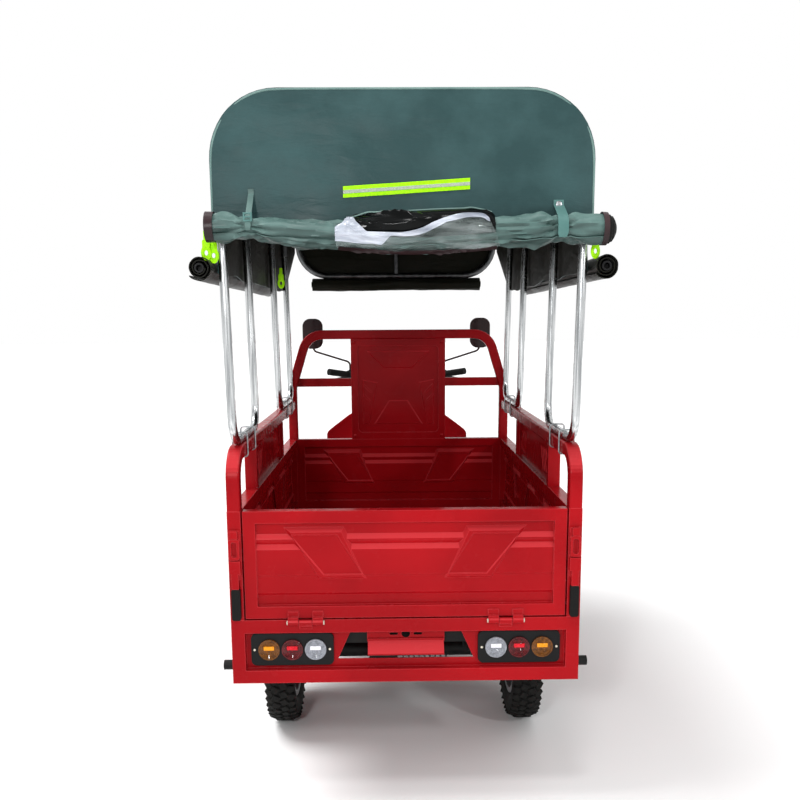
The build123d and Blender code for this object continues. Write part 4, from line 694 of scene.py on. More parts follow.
def rear_fold(x, z):
    """How far the rear panel stands in or out at a place, as a share of the crease height.

    As in all the cloth here, a factor in a noise's place is its scale per metre, and a plain number
    only picks another layer of noise.
    """
    rim = clamped(min((ROOF_HIGH.z - z) / PANEL_HELD[1], (ROOF_HIGH.x - abs(x)) / PANEL_HELD[0]))
    foot = max(0.0, 1 - (z - PANEL_LOW.z) / PANEL_FOOT)
    level = noise.noise((x * 3.1, 3.0, z * 15)) * (0.5 + 0.8 * foot)
    slant = 0.4 * noise.noise((x * 9 + z * 6, 7.0, z * 5 - x * 2))
    fine = 0.1 * noise.noise((x * 26, 1.0, z * 34))
    crease = 0.35 * ridge((x * 4.5 + z * 2, 13.0, z * 19), 5) * (0.3 + foot)
    return rim * (level + slant + fine + crease - 0.75)


def rim_points(high, foot_z):
    """Points up one side of the rear panel, over its round corners and down the other: side, x, z."""
    inset = 0.003
    half, top = high.x - inset, high.z - inset
    radius = ARCH_CORNER - inset
    points = [(-1, half, foot_z), (-1, half, (foot_z + top - radius) / 2)]
    for number in range(RIM_FACETS + 1):
        turn = number * pi / (2 * RIM_FACETS)
        points.append((-1, half - radius + radius * cos(turn), top - radius + radius * sin(turn)))
    points.append((1, 0.0, top))
    return points + [(1, x, z) for side, x, z in reversed(points[:-1])]


class TRICYCLE_OT_cover(Operator):
    """Sews the canopy cover: one sheet over the arches with its rear and front panels"""

    bl_idname = "tricycle.cover"
    bl_label = "Canopy cover"

    def execute(self, context):
        sizes = context.scene.tricycle_sizes
        low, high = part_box("canopy_roof")
        front_low, front_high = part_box("canopy_front_panel")
        rear_y, front_y = PANEL_LOW.y, front_high.y
        cover = add_block("canopy_cover", (low.x, rear_y, low.z), (high.x, front_y, high.z))
        bpy.ops.object.mode_set(mode="EDIT")
        pick("FACE", lambda face: face.normal.z < -FACING)
        bpy.ops.mesh.delete(type="FACE")
        top = high.z - CLEAR
        pick("EDGE", lambda edge: all(v.co.z > top for v in edge.verts)
             and abs(edge.verts[0].co.x - edge.verts[1].co.x) < CLEAR)
        bpy.ops.mesh.bevel(offset=ARCH_CORNER, segments=ARCH_FACETS, affect="EDGES")
        bpy.ops.object.mode_set(mode="OBJECT")
        for axis, ends in enumerate(((low.x, high.x), (rear_y, front_y), (low.z, high.z))):
            cut_rows(cover, axis, steps(*ends, COVER_PITCH[axis]))

        def front(face):
            return face.normal.y > FACING

        trim(cover, lambda face: face.normal.y < -FACING, (0, 0, PANEL_LOW.z), (0, 0, -1))
        trim(cover, front, (0, 0, front_low.z), (0, 0, -1))
        for side in (-1, 1):
            centre = Vector((side * (high.x - FRONT_CORNER), 0, front_low.z + FRONT_CORNER))
            for number in range(1, CORNER_CUTS):
                turn = number * pi / (2 * CORNER_CUTS)
                outward = Vector((side * cos(turn), 0, -sin(turn)))
                trim(cover, front, centre + outward * FRONT_CORNER, outward)
        # The skirt ends at the first cut of the round corner, so that both cuts keep the same edge.
        first_cut = front_low.z + FRONT_CORNER * (1 - tan(pi / (4 * CORNER_CUTS))) - CLEAR
        start_y = TAIL_Y + SKIRT_RISE
        rise = Vector((0, front_y - TAIL_Y - SKIRT_RISE, first_cut - low.z))
        trim(cover, lambda face: abs(face.normal.x) > FACING, (0, start_y, low.z), (0, rise.z, -rise.y))
        mend(cover)

        def inside_ring(point):
            below = point.z < (front_low.z + high.z) / 2
            corner, end = (FRONT_CORNER, front_low.z) if below else (ARCH_CORNER, high.z)
            across = max(0.0, abs(point.x) - high.x + corner)
            along = max(0.0, corner - abs(point.z - end))
            return clamped((corner - hypot(across, along) - RING_WIDTH) / RING_FADE)

        def hang(point):
            place = point.y - TAIL_Y
            loose = slack_between(place)
            side = side_of(point.x)
            if point.y < rear_y + CLEAR:
                point.y += rear_fold(point.x, point.z) * sizes.crease
            elif point.y > front_y - CLEAR:
                fold = noise.noise((point.x * 4, 11.0, point.z * 11)) + FRONT_FOLD_BIAS
                point.y -= FRONT_FOLD * max(0.0, min(FRONT_FOLD_TOP, fold)) * inside_ring(point)
            elif point.z > high.z - ARCH_CORNER * 0.3:
                held = 1 - exp(-((point.x / RIDGE_HALF) ** 2))
                ripple = ROOF_RIPPLE * noise.noise((point.x * 6, point.y * 5, 2.0))
                sag = sizes.roof_sag * held * (1 - SAG_LOST * abs(point.x) / high.x)
                point.z -= (sag - ripple) * loose
            elif abs(point.x) > high.x - CLEAR and place < SKIRT_RISE:
                wave = SKIRT_WAVE * noise.noise((point.y * 6, point.z * 3, 5.0))
                point.x -= (SKIRT_SLACK + wave) * loose * side
                hem = max(0.0, 1 - (point.z - low.z) / HEM_HEIGHT)
                point.z += hem * HEM_RISE * (noise.noise((point.y * 5, side, 3.0)) + 0.4)
            return point

        reshape(cover, hang)
        cover.data.materials.append(MATERIALS["green_canvas"])
        # The inside faces take the dark lining, which also paints the shade under the canopy.
        cover.data.materials.append(MATERIALS["black_canvas"])
        finish_modifier(cover, "SOLIDIFY", thickness=sizes.cloth, offset=-1.0, material_offset=1)
        nodes = ("canopy_roof", "canopy_rear_panel", "canopy_front_panel")
        wear(soften(cover, 40), "green_canvas", nodes=nodes)

        rim = [Vector((side * x, rear_y, z)) for side, x, z in rim_points(high, PANEL_LOW.z)]
        wear(add_cord("cover_piping", rim, sizes.piping), "green_canvas", "piping")
        return {"FINISHED"}


ROLL_LOW, ROLL_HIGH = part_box("rear_curtain_roll")
ROLL_Y = (ROLL_LOW.y + ROLL_HIGH.y) / 2
ROLL_Z = (ROLL_LOW.z + ROLL_HIGH.z) / 2
# The rear roll along the vehicle's width: place across, drop of its middle line, radius
REAR_ROLL_LINE = (
    (-0.530, -0.004, 0.037),
    (-0.470, -0.004, 0.036),
    (-0.400, -0.003, 0.026),
    (-0.330, 0.006, 0.033),
    (-0.250, 0.014, 0.033),
    (0.030, 0.023, 0.039),
    (0.330, 0.008, 0.040),
    (0.408, 0.004, 0.032),
    (0.490, 0.004, 0.041),
    (0.570, 0.006, 0.039),
)
# Its cloth: turns, columns, rows a turn, share of the radius left open in the middle, ends, smooth share
# at an end, how far it stays off the panel on the outside and, besides that, in the middle
ROLL_TURNS = 3.4
ROLL_COLUMNS = 140
ROLL_ROWS = 44
ROLL_CORE = 0.42
ROLL_X = (ROLL_LOW.x + 0.010, ROLL_HIGH.x - 0.035)
ROLL_SMOOTH = 0.04
ROLL_BACK_Y = ROLL_HIGH.y - 0.002
ROLL_NEST = 0.02
# Places where the straps gather it, and how far along and round the roll the pleats reach
STRAPS_X = (-0.400, 0.408)
GATHER_REACH = 0.085
GATHER_START = 0.02
GATHER_RADIUS = 0.04
PLEATS = 9
# Bound ends: start and width of each, share of the roll's radius and height over it, thickness
BINDINGS = ((ROLL_X[0] - 0.001, 0.022), (ROLL_X[1] - 0.011, 0.014))
BINDING_SHARE = 0.97
BINDING_OUT = 0.0025
BINDING_CLOTH = 0.002
# Gathered cap on its right end: place along it, share of the roll's radius
ROLL_CAP = (
    (0.0, 0.0),
    (0.0, 1.0),
    (0.004, 1.01),
    (0.007, 0.93),
    (0.010, 0.95),
    (0.014, 0.84),
    (0.017, 0.84),
    (0.022, 0.66),
    (0.027, 0.38),
    (0.029, 0.0),
)
# From here on a turn round the roll is a share of half a circle.
# The window's dark sheet, painted shade in its fold: places across, turns, gap to the roll, bulge,
# thickness, turn of its cord
POCKET_X = (-0.150, 0.235)
POCKET_TURN = (0.36, 1.04)
POCKET_GAP = 0.0025
POCKET_BULGE = 0.034
POCKET_CLOTH = 0.0012
CORD_TURN = 0.36
CORD_POINTS = 40
CORD_RADIUS = 0.0018
# The window's film: places across, upper edge, the peak, rise and corner in it, lower edge, gap, billow
WINDOW_X = (-0.175, 0.245)
FILM_EDGE = 0.97
FILM_PEAK = (0.08, 0.11, 0.26)
FILM_RISE = (0.38, 0.42, 0.20)
FILM_CORNER = (0.87, 0.13, 0.45)
FILM_END = 1.37
FILM_GAP = 0.003
FILM_BILLOW = 0.005
FILM_THICKNESS = 0.0009
# Its milky crease, pale partly from its folds and partly as painted reflection: places across, share of
# the edge it follows, lower edge, where and to what it narrows
CREASE_X = (-0.177, 0.218)
CREASE_SHARE = 0.93
CREASE_END = 1.17
CREASE_NARROW = (0.30, 0.07, 0.065)
CREASE_GAP = 0.0085
CREASE_RIDGE = 0.004
# Its hem: places across, turns, wave, gap, thickness
HEM_X = (WINDOW_X[0] + 0.004, WINDOW_X[1] - 0.004)
HEM_TURN = (1.29, 1.39)
HEM_WAVE = 0.05
HEM_GAP = 0.0105
HEM_CLOTH = 0.0015


def rear_roll_line(across):
    """The drop of the rear roll's middle line and its radius, eased between the table's rows."""
    for (x0, drop0, r0), (x1, drop1, r1) in zip(REAR_ROLL_LINE, REAR_ROLL_LINE[1:]):
        if across <= x1:
            part = eased(max(0.0, (across - x0) / (x1 - x0)))
            return between((drop0, drop1), part), between((r0, r1), part)
    return REAR_ROLL_LINE[-1][1:]


def on_roll(x, turn, share, gap=0.0):
    """A place round the rear roll, at a share of its radius and a gap outside that."""
    drop, radius = rear_roll_line(x)
    reach = radius * share + gap
    return Vector((x, ROLL_Y + reach * cos(turn), ROLL_Z - drop + reach * sin(turn)))


def crumpled(across, turn):
    """The folds of the rear roll as a share of its radius: pleats that gather at the straps."""
    radial = 0.0
    for strap in STRAPS_X:
        gap = across - strap
        angle = atan2((turn % (2 * pi) - pi) * GATHER_RADIUS, abs(gap) + 0.004)
        depth = exp(-abs(gap) / GATHER_REACH) * min(1.0, abs(gap) / GATHER_START)
        radial += depth * cos(PLEATS * angle + (2 if gap > 0 else 0))
    ring = Vector((cos(turn), sin(turn), 0.0))
    pleat = noise.noise(ring * 1.2 + Vector((0, 0, across * 2.0)))
    slant = ridge(ring * 1.5 + Vector((across * 2.2, 0, across * 2.6)), 8)
    gather = ridge(ring * 2.1 + Vector((across * 3.0, 3.0, across * 2.0)), 8)
    return 0.14 * pleat + 0.26 * slant + 0.16 * gather + 0.20 * radial - 0.12


def over_roll(x, turn, gap):
    """A place outside the folds of the rear roll."""
    return on_roll(x, turn, 1 + max(0.0, crumpled(x, turn)), gap)


def rolled_cloth(name, columns, turns, place, thickness):
    """A sheet wound into a roll: place(along, turn, reach) gives a point, with reach from 0 to 1."""
    def wound(along, around):
        return place(along, -2 * pi * turns * around, between((ROLL_CORE, 1.0), around))

    return soften(add_sheet(name, columns, round(turns * ROLL_ROWS), wound, thickness), CLOTH_EDGE)


def sheet_area(piece):
    """The area of one side of a thin sheet."""
    return sum(face.area for face in piece.data.polygons) / 2


def pocket_gap(x, turn):
    """How far the window's dark sheet of painted shade stands off the roll, which is nothing outside it.
    """
    along = (x - POCKET_X[0]) / (POCKET_X[1] - POCKET_X[0])
    around = (turn / pi - POCKET_TURN[0]) / (POCKET_TURN[1] - POCKET_TURN[0])
    if not (0 <= along <= 1 and 0 <= around <= 1):
        return 0.0
    hump = sin(pi * along) ** 0.5 * (0.55 + 0.45 * along)
    wave = 0.002 * noise.noise((x * 6, around * 3, 3.0)) * hump
    return POCKET_GAP + POCKET_BULGE * hump * sin(pi * min(1.0, around * 1.15)) ** 0.8 + wave


def pocket(along, around):
    """A place on the window's dark sheet of painted shade."""
    x = between(POCKET_X, along)
    turn = pi * between(POCKET_TURN, around)
    point = over_roll(x, turn, pocket_gap(x, turn))
    point.y = min(point.y, ROLL_BACK_Y)
    return point


def film_start(along):
    """The upper edge of the window's film: a peak at its left, a rise and a cut corner at its right."""
    peak = max(0.0, 1 - abs(along - FILM_PEAK[0]) / FILM_PEAK[1])
    rise = eased(clamped((along - FILM_RISE[0]) / FILM_RISE[1]))
    corner = max(0.0, (along - FILM_CORNER[0]) / FILM_CORNER[1])
    return FILM_EDGE - FILM_PEAK[2] * peak - FILM_RISE[2] * rise + FILM_CORNER[2] * corner ** 2.5


def film(along, around):
    """A place on the window's film, which billows over the dark sheet."""
    x = between(WINDOW_X, along)
    turn = pi * between((film_start(along), FILM_END), around)
    billow = noise.noise((x * 7 + around * 3, around * 4.0, 8.0))
    x += 0.004 * noise.noise((around * 5, 2.0, along * 2))
    return over_roll(x, turn, pocket_gap(x, turn) + FILM_GAP + FILM_BILLOW * max(0.0, billow + 0.3))


def crease(along, around):
    """A place on the milky crease along the film's upper edge, pale partly as painted reflection."""
    x = between(CREASE_X, along)
    start = film_start(along * CREASE_SHARE) - 0.01
    narrow = eased(clamped((along - CREASE_NARROW[0]) / CREASE_NARROW[1]))
    wander = 0.03 * noise.noise((x * 14, 5.0, 0.0))
    end = between((CREASE_END, start + CREASE_NARROW[2]), narrow) + wander
    turn = pi * between((start, end), around)
    crest = ridge((x * 18 - around * 5, around * 3.0, 1.0), 4) * sin(pi * around)
    return over_roll(x, turn, pocket_gap(x, turn) + CREASE_GAP + CREASE_RIDGE * crest)


def hem(along, around):
    """A place on the dark hem under the film."""
    x = between(HEM_X, along)
    turn = pi * between(HEM_TURN, around) + HEM_WAVE * noise.noise((x * 9, 4.0, 1.0))
    return over_roll(x, turn, HEM_GAP)


class TRICYCLE_OT_rear_roll(Operator):
    """Rolls up the rear curtain with its clear window and bound ends"""

    bl_idname = "tricycle.rear_roll"
    bl_label = "Rear curtain roll"

    def execute(self, context):
        def place(along, turn, reach):
            x = between(ROLL_X, along)
            end = min(1.0, along / ROLL_SMOOTH, (1 - along) / ROLL_SMOOTH)
            point = on_roll(x, turn, reach * (1 + crumpled(x, turn) * end))
            point.y = min(point.y, ROLL_BACK_Y - (1 - reach) * ROLL_NEST)
            return point

        cloth = context.scene.tricycle_sizes.cloth
        roll = rolled_cloth("rear_roll", ROLL_COLUMNS, ROLL_TURNS, place, cloth)
        wear(roll, "green_canvas", "reverse", ("rear_curtain_roll",))
        width = ROLL_X[1] - ROLL_X[0]
        sheet_area(roll) / width

        bands = []
        for number, (start, width) in enumerate(BINDINGS):
            def ring(along, around, start=start, width=width):
                return on_roll(start + width * along, 2 * pi * around, BINDING_SHARE, BINDING_OUT)

            bands.append(add_sheet(f"rear_roll_binding_{number}", 4, 64, ring, BINDING_CLOTH))
        drop, radius = rear_roll_line(ROLL_HIGH.x)
        outline = [(along, radius * share) for along, share in ROLL_CAP]
        cap = spun("rear_roll_end", outline, (ROLL_X[1], ROLL_Y, ROLL_Z - drop), (1, 0, 0))
        wear(soften(cap), "black_canvas", "black_rubber")
        wear(soften(join("rear_roll_binding", bands), 50), "black_canvas", "binding")

        for name, shape, finish in (
            ("rear_window_film", film, "film"), ("rear_window_crease", crease, "milky")
        ):
            sheet = soften(add_sheet(name, 90, 54, shape, FILM_THICKNESS, 1.0), CLOTH_EDGE)
            wear(sheet, "clear_lens", finish)
            across = [point.co.x for point in sheet.data.vertices]
            width = max(across) - min(across)

        # Painted shade: a dark gloss sheet in the fold of the rolled window.
        backing = soften(add_sheet("rear_window_backing", 70, 30, pocket, POCKET_CLOTH, 1.0), CLOTH_EDGE)
        wear(backing, "black_canvas", "gloss")
        width = POCKET_X[1] - POCKET_X[0]
        brim = [
            pocket(between((0.02, 0.98), number / CORD_POINTS), CORD_TURN) + Vector((0, -0.002, 0.001))
            for number in range(CORD_POINTS + 1)
        ]
        wear(add_cord("rear_window_cord", brim, CORD_RADIUS), "green_canvas", "piping")
        hem_band = soften(add_sheet("rear_window_hem", 60, 4, hem, HEM_CLOTH, 1.0), CLOTH_EDGE)
        wear(hem_band, "black_canvas", "binding")
        return {"FINISHED"}


# Straps: place across, width, top, last turn round the roll as a share of half a circle, finish
STRAP_ROWS = (
    (-0.400, 0.015, 1.762, 1.10, "reverse"),
    (0.410, 0.027, 1.730, 1.20, "strap"),
)
# Their route: points on the panel, their pitch and gap; points round the roll, first turn, share and gap
STRAP_ON_PANEL = (3, 0.007, 0.003)
STRAP_ROUND = 14
STRAP_TURN = 0.7
STRAP_SHARE = 1.16
STRAP_GAP = 0.004
STRAP_CLOTH = 0.002
# Share of a strap's length that is its pointed end, and how much narrower that gets
STRAP_POINT = 0.10
STRAP_TAPER = 0.35
# The left strap's buckle: seat on the roll, half width as a share of the strap's, heights of bars, radii
BUCKLE_SEAT = (0.80, 0.014, 0.86)
BUCKLE_HALF = 0.62
BUCKLE_BARS = (-0.009, 0.0, 0.009)
BUCKLE_SIDE = (-0.011, 0.022)
BUCKLE_RADII = (0.0022, 0.0026)
# The right strap's snap: drop below the strap's top, thickness, radius, rounding
SNAP = (0.012, 0.004, 0.0085, 0.0015)
# The bright strip: ends across and up, thickness; for each layer its name, half height, gap and finish
STRIP_X = (-0.158, 0.176)
STRIP_Z = (1.752, 1.773)
STRIP_CLOTH = 0.0008
STRIP_LAYERS = (("bright_strip", 0.0145, 0.0030, "bright"), ("bead_strip", 0.00435, 0.0042, "beads"))
# Spring clips: place across, place ahead of the tail, height of the foot
CLIPS = ((-0.526, 0.004, 1.614), (-0.509, 0.016, 1.608), (-0.457, 1.050, 1.582), (0.517, 0.010, 1.614))
# A clip's eye: radii, drop below the foot, turn, stretch; then its blocks from the foot, their rounding
CLIP_EYE = (0.0092, 0.0048)
CLIP_EYE_DROP = 0.014
CLIP_EYE_TURN = 0.25
CLIP_EYE_STRETCH = (1.0, 1.5, 0.7)
CLIP_BLOCKS = (
    ("tongue", (-0.0105, -0.003, -0.002), (0.0105, 0.003, 0.020), 0.0028),
    ("jaw", (-0.0058, -0.005, 0.015), (0.0058, 0.005, 0.044), 0.002),
)


def route_length(points):
    """The length of a run of points."""
    return sum((after - before).length for before, after in zip(points, points[1:]))


def along_path(points, part):
    """The place at a share of the way along a run of points."""
    left = part * route_length(points)
    for before, after in zip(points, points[1:]):
        gap = (after - before).length
        if left <= gap:
            return before.lerp(after, left / gap)
        left -= gap
    return points[-1].copy()


class TRICYCLE_OT_trim(Operator):
    """Adds the straps, the bright strip and the spring clips of the canopy"""

    bl_idname = "tricycle.trim"
    bl_label = "Canopy trim"

    def execute(self, context):
        fold_height = context.scene.tricycle_sizes.crease

        def on_panel(x, z, gap):
            return Vector((x, PANEL_LOW.y + rear_fold(x, z) * fold_height - gap, z))

        for x, width, top, last, finish in STRAP_ROWS:
            count, pitch, gap = STRAP_ON_PANEL
            route = [on_panel(x, top - pitch * number, gap) for number in range(count)]
            for number in range(STRAP_ROUND + 1):
                turn = pi * between((STRAP_TURN, last), number / STRAP_ROUND)
                route.append(on_roll(x, turn, STRAP_SHARE, STRAP_GAP))

            def lay(across, along, route=route, width=width):
                point = along_path(route, 1 - along)
                taper = 1.0 - STRAP_TAPER * max(0.0, (STRAP_POINT - along) / STRAP_POINT) ** 2
                point.x += (across - 0.5) * width * taper
                return point

            strap = soften(add_sheet(f"strap_{finish}", 6, 48, lay, STRAP_CLOTH), CLOTH_EDGE)
            wear(strap, "green_canvas", finish)
            flat = (width, route_length(route))

        self.buckle()
        x, _, top = STRAP_ROWS[1][:3]
        drop, thickness, radius, rounding = SNAP
        stud = on_panel(x, top - drop, STRAP_GAP)
        snap = add_drum("strap_snap", stud, stud - Vector((0, thickness, 0)), radius, 24, rounding)
        wear(soften(snap), "zinc_steel")

        for name, half, gap, finish in STRIP_LAYERS:
            def strip(along, up, half=half, gap=gap):
                z = between(STRIP_Z, along) + (up - 0.5) * 2 * half
                return on_panel(between(STRIP_X, along), z, gap)

            band = mend(add_sheet(name, 60, 8, strip, STRIP_CLOTH))
            wear(soften(band, CLOTH_EDGE), "green_canvas", finish)
        self.clips()
        return {"FINISHED"}

    def buckle(self):
        """A ladder buckle on the left strap, of round bars."""
        x, width = STRAP_ROWS[0][:2]
        drop, radius = rear_roll_line(x)
        back, out, up = BUCKLE_SEAT
        seat = Vector((x, ROLL_Y - radius * back - out, ROLL_Z - drop + radius * up))
        half = Vector((width * BUCKLE_HALF, 0, 0))
        bars = []
        for number, rise in enumerate(BUCKLE_BARS):
            middle = seat + Vector((0, 0, rise))
            ends = middle - half, middle + half
            bars.append(add_drum(f"buckle_bar_{number}", *ends, BUCKLE_RADII[0], 12))
        start, length = BUCKLE_SIDE
        for side in (-1, 1):
            foot = seat + half * side + Vector((0, 0, start))
            head = foot + Vector((0, 0, length))
            bars.append(add_drum(f"buckle_side_{side}", foot, head, BUCKLE_RADII[1], 12))
        wear(soften(join("strap_buckle", bars)), "black_plastic", "strap")

    def clips(self):
        """The spring clips at the cover's lower corners: an eye, a tongue and a jaw each."""
        clips = []
        for number, (x, ahead, z) in enumerate(CLIPS):
            foot = Vector((x, TAIL_Y + ahead, z))
            clear_selection()
            bpy.ops.mesh.primitive_torus_add(
                major_radius=CLIP_EYE[0], minor_radius=CLIP_EYE[1], major_segments=24, minor_segments=10,
                location=foot - Vector((0, 0, CLIP_EYE_DROP)), rotation=(pi / 2, 0, CLIP_EYE_TURN),
            )
            bpy.context.object.scale = CLIP_EYE_STRETCH
            clips.append(named(f"clip_eye_{number}"))
            for name, low, high, rounding in CLIP_BLOCKS:
                corners = foot + Vector(low), foot + Vector(high)
                clips.append(add_block(f"clip_{name}_{number}", *corners, rounding))
        wear(soften(join("spring_clips", clips)), "green_canvas", "bright")


# Wound curtains: turns, columns, cloth; then the tube in them: how far it stands out, its radius and wall
# as shares of the roll's radius, and the depth of its hollow ends
CURTAIN_TURNS = 2.4
CURTAIN_COLUMNS = 60
CURTAIN_CLOTH = 0.0025
TUBE_OUT = 0.004
TUBE_SHARE = 0.36
TUBE_WALL = 0.13
TUBE_HOLLOW = 0.02
SIDE_SLACK = 0.06
# The front roll: how far it stands out at its ends and up, share of the solid's radius, slack, sag, turn
FRONT_OUT = 0.025
FRONT_UP = 0.003
FRONT_SHARE = 1.26
FRONT_SLACK = 0.16
FRONT_SAG = 0.004
FRONT_TURN = 1.3 * pi


class TRICYCLE_OT_side_rolls(Operator):
    """Rolls up the side and front curtains round their tubes"""

    bl_idname = "tricycle.side_rolls"
    bl_label = "Side and front rolls"

    def execute(self, context):
        node = "side_curtain_rolls"
        low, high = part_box(node)
        radius = (high.z - low.z) / 2
        mid_z = (low.z + high.z) / 2
        for side, name in ((-1, "left"), (1, "right")):
            x = side * (high.x - radius)
            start, end = Vector((x, low.y, mid_z)), Vector((x, high.y, mid_z))
            self.roll(f"side_roll_{name}", node, start, end, radius, high.z, SIDE_SLACK)
        node = "front_curtain_roll"
        low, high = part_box(node)
        middle = (low + high) / 2
        start = Vector((low.x - FRONT_OUT, middle.y, middle.z + FRONT_UP))
        end = Vector((high.x + FRONT_OUT, middle.y, middle.z + FRONT_UP))
        radius = (high.z - low.z) / 2 * FRONT_SHARE
        self.roll("front_roll", node, start, end, radius, high.z, FRONT_SLACK, FRONT_SAG, FRONT_TURN)
        return {"FINISHED"}

    def roll(self, name, node, start, end, radius, top, slack, sag=0.0, phase=0.0):
        """A curtain wound on a tube, crumpled by the slack of its cloth and sagging along its length."""
        run = (end - start).normalized()
        up = Vector((0, 0, 1))
        out = run.cross(up)

        def place(along, turn, reach):
            ring = out * cos(turn + phase) + up * sin(turn + phase)
            spot = start + (end - start) * along
            spot.z += sag * noise.noise((along * 4, 9.0, radius * 40))
            fold = noise.noise(ring * 1.6 + spot * 5) * 0.6 + noise.noise(ring * 3 + spot * 17) * 0.4
            point = spot + ring * radius * reach * (1.0 - slack + slack * fold)
            point.z = min(point.z, top - (1 - reach) * radius * 0.5)
            return point

        cloth = rolled_cloth(name, CURTAIN_COLUMNS, CURTAIN_TURNS, place, CURTAIN_CLOTH)
        wear(cloth, "black_canvas", nodes=(node,))
        length = (end - start).length
        flat = (length, sheet_area(cloth) / length)
        ends = start - run * TUBE_OUT, end + run * TUBE_OUT
        tube = add_drum(f"{name}_tube", *ends, radius * TUBE_SHARE, 28)
        bpy.ops.object.mode_set(mode="EDIT")
        pick("FACE", lambda face: abs(face.normal.dot(run)) > FACING)
        bpy.ops.mesh.inset(thickness=radius * TUBE_WALL)
        bpy.ops.mesh.extrude_region_shrink_fatten(TRANSFORM_OT_shrink_fatten={"value": -TUBE_HOLLOW})
        bpy.ops.object.mode_set(mode="OBJECT")
        wear(soften(tube), "black_plastic")


# Lens nodes with their slots and the finishes of their prism bars, which are bright as painted highlights
LENS_FINISHES = {
    "lens_amber": ("amber_lens", "amber_bar"),
    "lens_red": ("red_lens", "stop_bar"),
    "lens_clear": ("clear_lens", "clear_bar"),
}
# A lens in shares of its depth and radius: rim, then the crown, its drop to the edge and the first ring
LENS_RIM = ((0.0, 0.0), (0.0, 1.0), (0.55, 1.0), (0.62, 0.97))
LENS_CROWN = 0.86
LENS_DROP = 0.26
LENS_FIRST = 0.92
LENS_RINGS = 5
LENS_GROOVE = 0.0014
# Its prism bar, bright as a painted highlight: half width and height, rise over the middle, depths as
# shares of the lens's, rounding
PRISM_HALF = (0.0155, 0.0060)
PRISM_RISE = 0.006
PRISM_DEPTHS = (0.97, 0.4)
PRISM_ROUND = 0.0015
HEADLAMP_SEAT = (0.0, 1.1035, 0.8345)
HEADLAMP_AXIS = (0.0, 0.912, 0.410)
# Headlamp outlines: places ahead of its seat, radii; then the lens's crown, drop, first ring and groove
HEADLAMP_BUCKET = ((0.0, 0.0), (0.0, 0.072), (0.012, 0.0765), (0.052, 0.0800), (0.052, 0.0))
HEADLAMP_BEZEL = (
    (0.050, 0.079), (0.054, 0.0822), (0.061, 0.0822), (0.068, 0.079), (0.0655, 0.074), (0.050, 0.074)
)
HEADLAMP_LENS = ((0.0522, 0.0), (0.0522, 0.0735), (0.0600, 0.0735))
HEADLAMP_CROWN = 0.0685
HEADLAMP_DROP = 0.008
HEADLAMP_FIRST = 0.96
HEADLAMP_RINGS = 6
HEADLAMP_GROOVE = 0.0015
# Lamp screws: distance from an edge, height of the head, its radius and rounding
SCREW_IN = 0.010
SCREW_HEAD = (0.0022, 0.0036, 0.0008)


class TRICYCLE_OT_lamps(Operator):
    """Moulds the lamp lenses with their rings and prism bars, and screws the lamps on"""

    bl_idname = "tricycle.lamps"
    bl_label = "Lamps"

    def execute(self, context):
        for node, (slot, bar_finish) in LENS_FINISHES.items():
            low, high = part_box(node)
            radius = (high.z - low.z) / 2
            depth = high.y - low.y
            outline = [(depth * along, radius * share) for along, share in LENS_RIM]
            for number in range(2 * LENS_RINGS + 1):
                out = LENS_FIRST * (1 - number / (2 * LENS_RINGS + 1))
                groove = LENS_GROOVE if number % 2 else 0.0
                outline.append((depth * (LENS_CROWN - LENS_DROP * out * out) - groove, radius * out))
            outline.append((depth * LENS_CROWN, 0.0))
            lenses, bars = [], []
            for side in (-1, 1):
                centre = Vector((side * (high.x - radius), high.y, (low.z + high.z) / 2))
                lenses.append(spun(f"{node}_{side}", outline, centre, (0, -1, 0)))
                middle = centre + Vector((0, 0, PRISM_RISE))
                reach = Vector((PRISM_HALF[0], 0, PRISM_HALF[1]))
                back, front = (Vector((0, depth * share, 0)) for share in PRISM_DEPTHS)
                corners = middle - reach - back, middle + reach - front
                bars.append(add_block(f"{node}_bar_{side}", *corners, PRISM_ROUND))
            wear(soften(join(f"{node}_moulded", lenses), 20), slot, nodes=(node,))
            # Painted highlight: each lens gets a bright bar.
            wear(soften(join(f"{node}_prism", bars)), slot, bar_finish)
        self.headlamp()
        low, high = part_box("tail_lamp_plates")
        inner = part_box("lens_clear")[1].x - 2 * radius - SCREW_IN
        height, head_radius, rounding = SCREW_HEAD
        screws = []
        for x in (high.x - SCREW_IN, inner):
            for side in (-1, 1):
                spot = Vector((side * x, low.y, (low.z + high.z) / 2))
                head = spot - Vector((0, height, 0))
                screws.append(add_drum("lamp_screw", spot, head, head_radius, 20, rounding))
        wear(soften(join("lamp_screws", screws)), "zinc_steel", "pin")
        return {"FINISHED"}

    def headlamp(self):
        """The headlamp's bucket, bezel and ringed lens, each spun round its axis."""
        lens = list(HEADLAMP_LENS)
        for number in range(2 * HEADLAMP_RINGS + 1):
            out = HEADLAMP_FIRST * (1 - number / (2 * HEADLAMP_RINGS))
            groove = HEADLAMP_GROOVE if number % 2 else 0.0
            lens.append((HEADLAMP_CROWN - HEADLAMP_DROP * out * out - groove, HEADLAMP_LENS[-1][1] * out))
        for name, outline, slot, finish, nodes in (
            ("headlamp_bucket", HEADLAMP_BUCKET, "black_plastic", None, ()),
            ("headlamp_bezel", HEADLAMP_BEZEL, "zinc_steel", "chrome", ()),
            ("headlamp_lens", lens, "headlamp_lens", "clear_lens", ("headlamp",)),
        ):
            ring = spun(name, outline, HEADLAMP_SEAT, HEADLAMP_AXIS, 64)
            wear(soften(ring, 30), slot, finish, nodes)


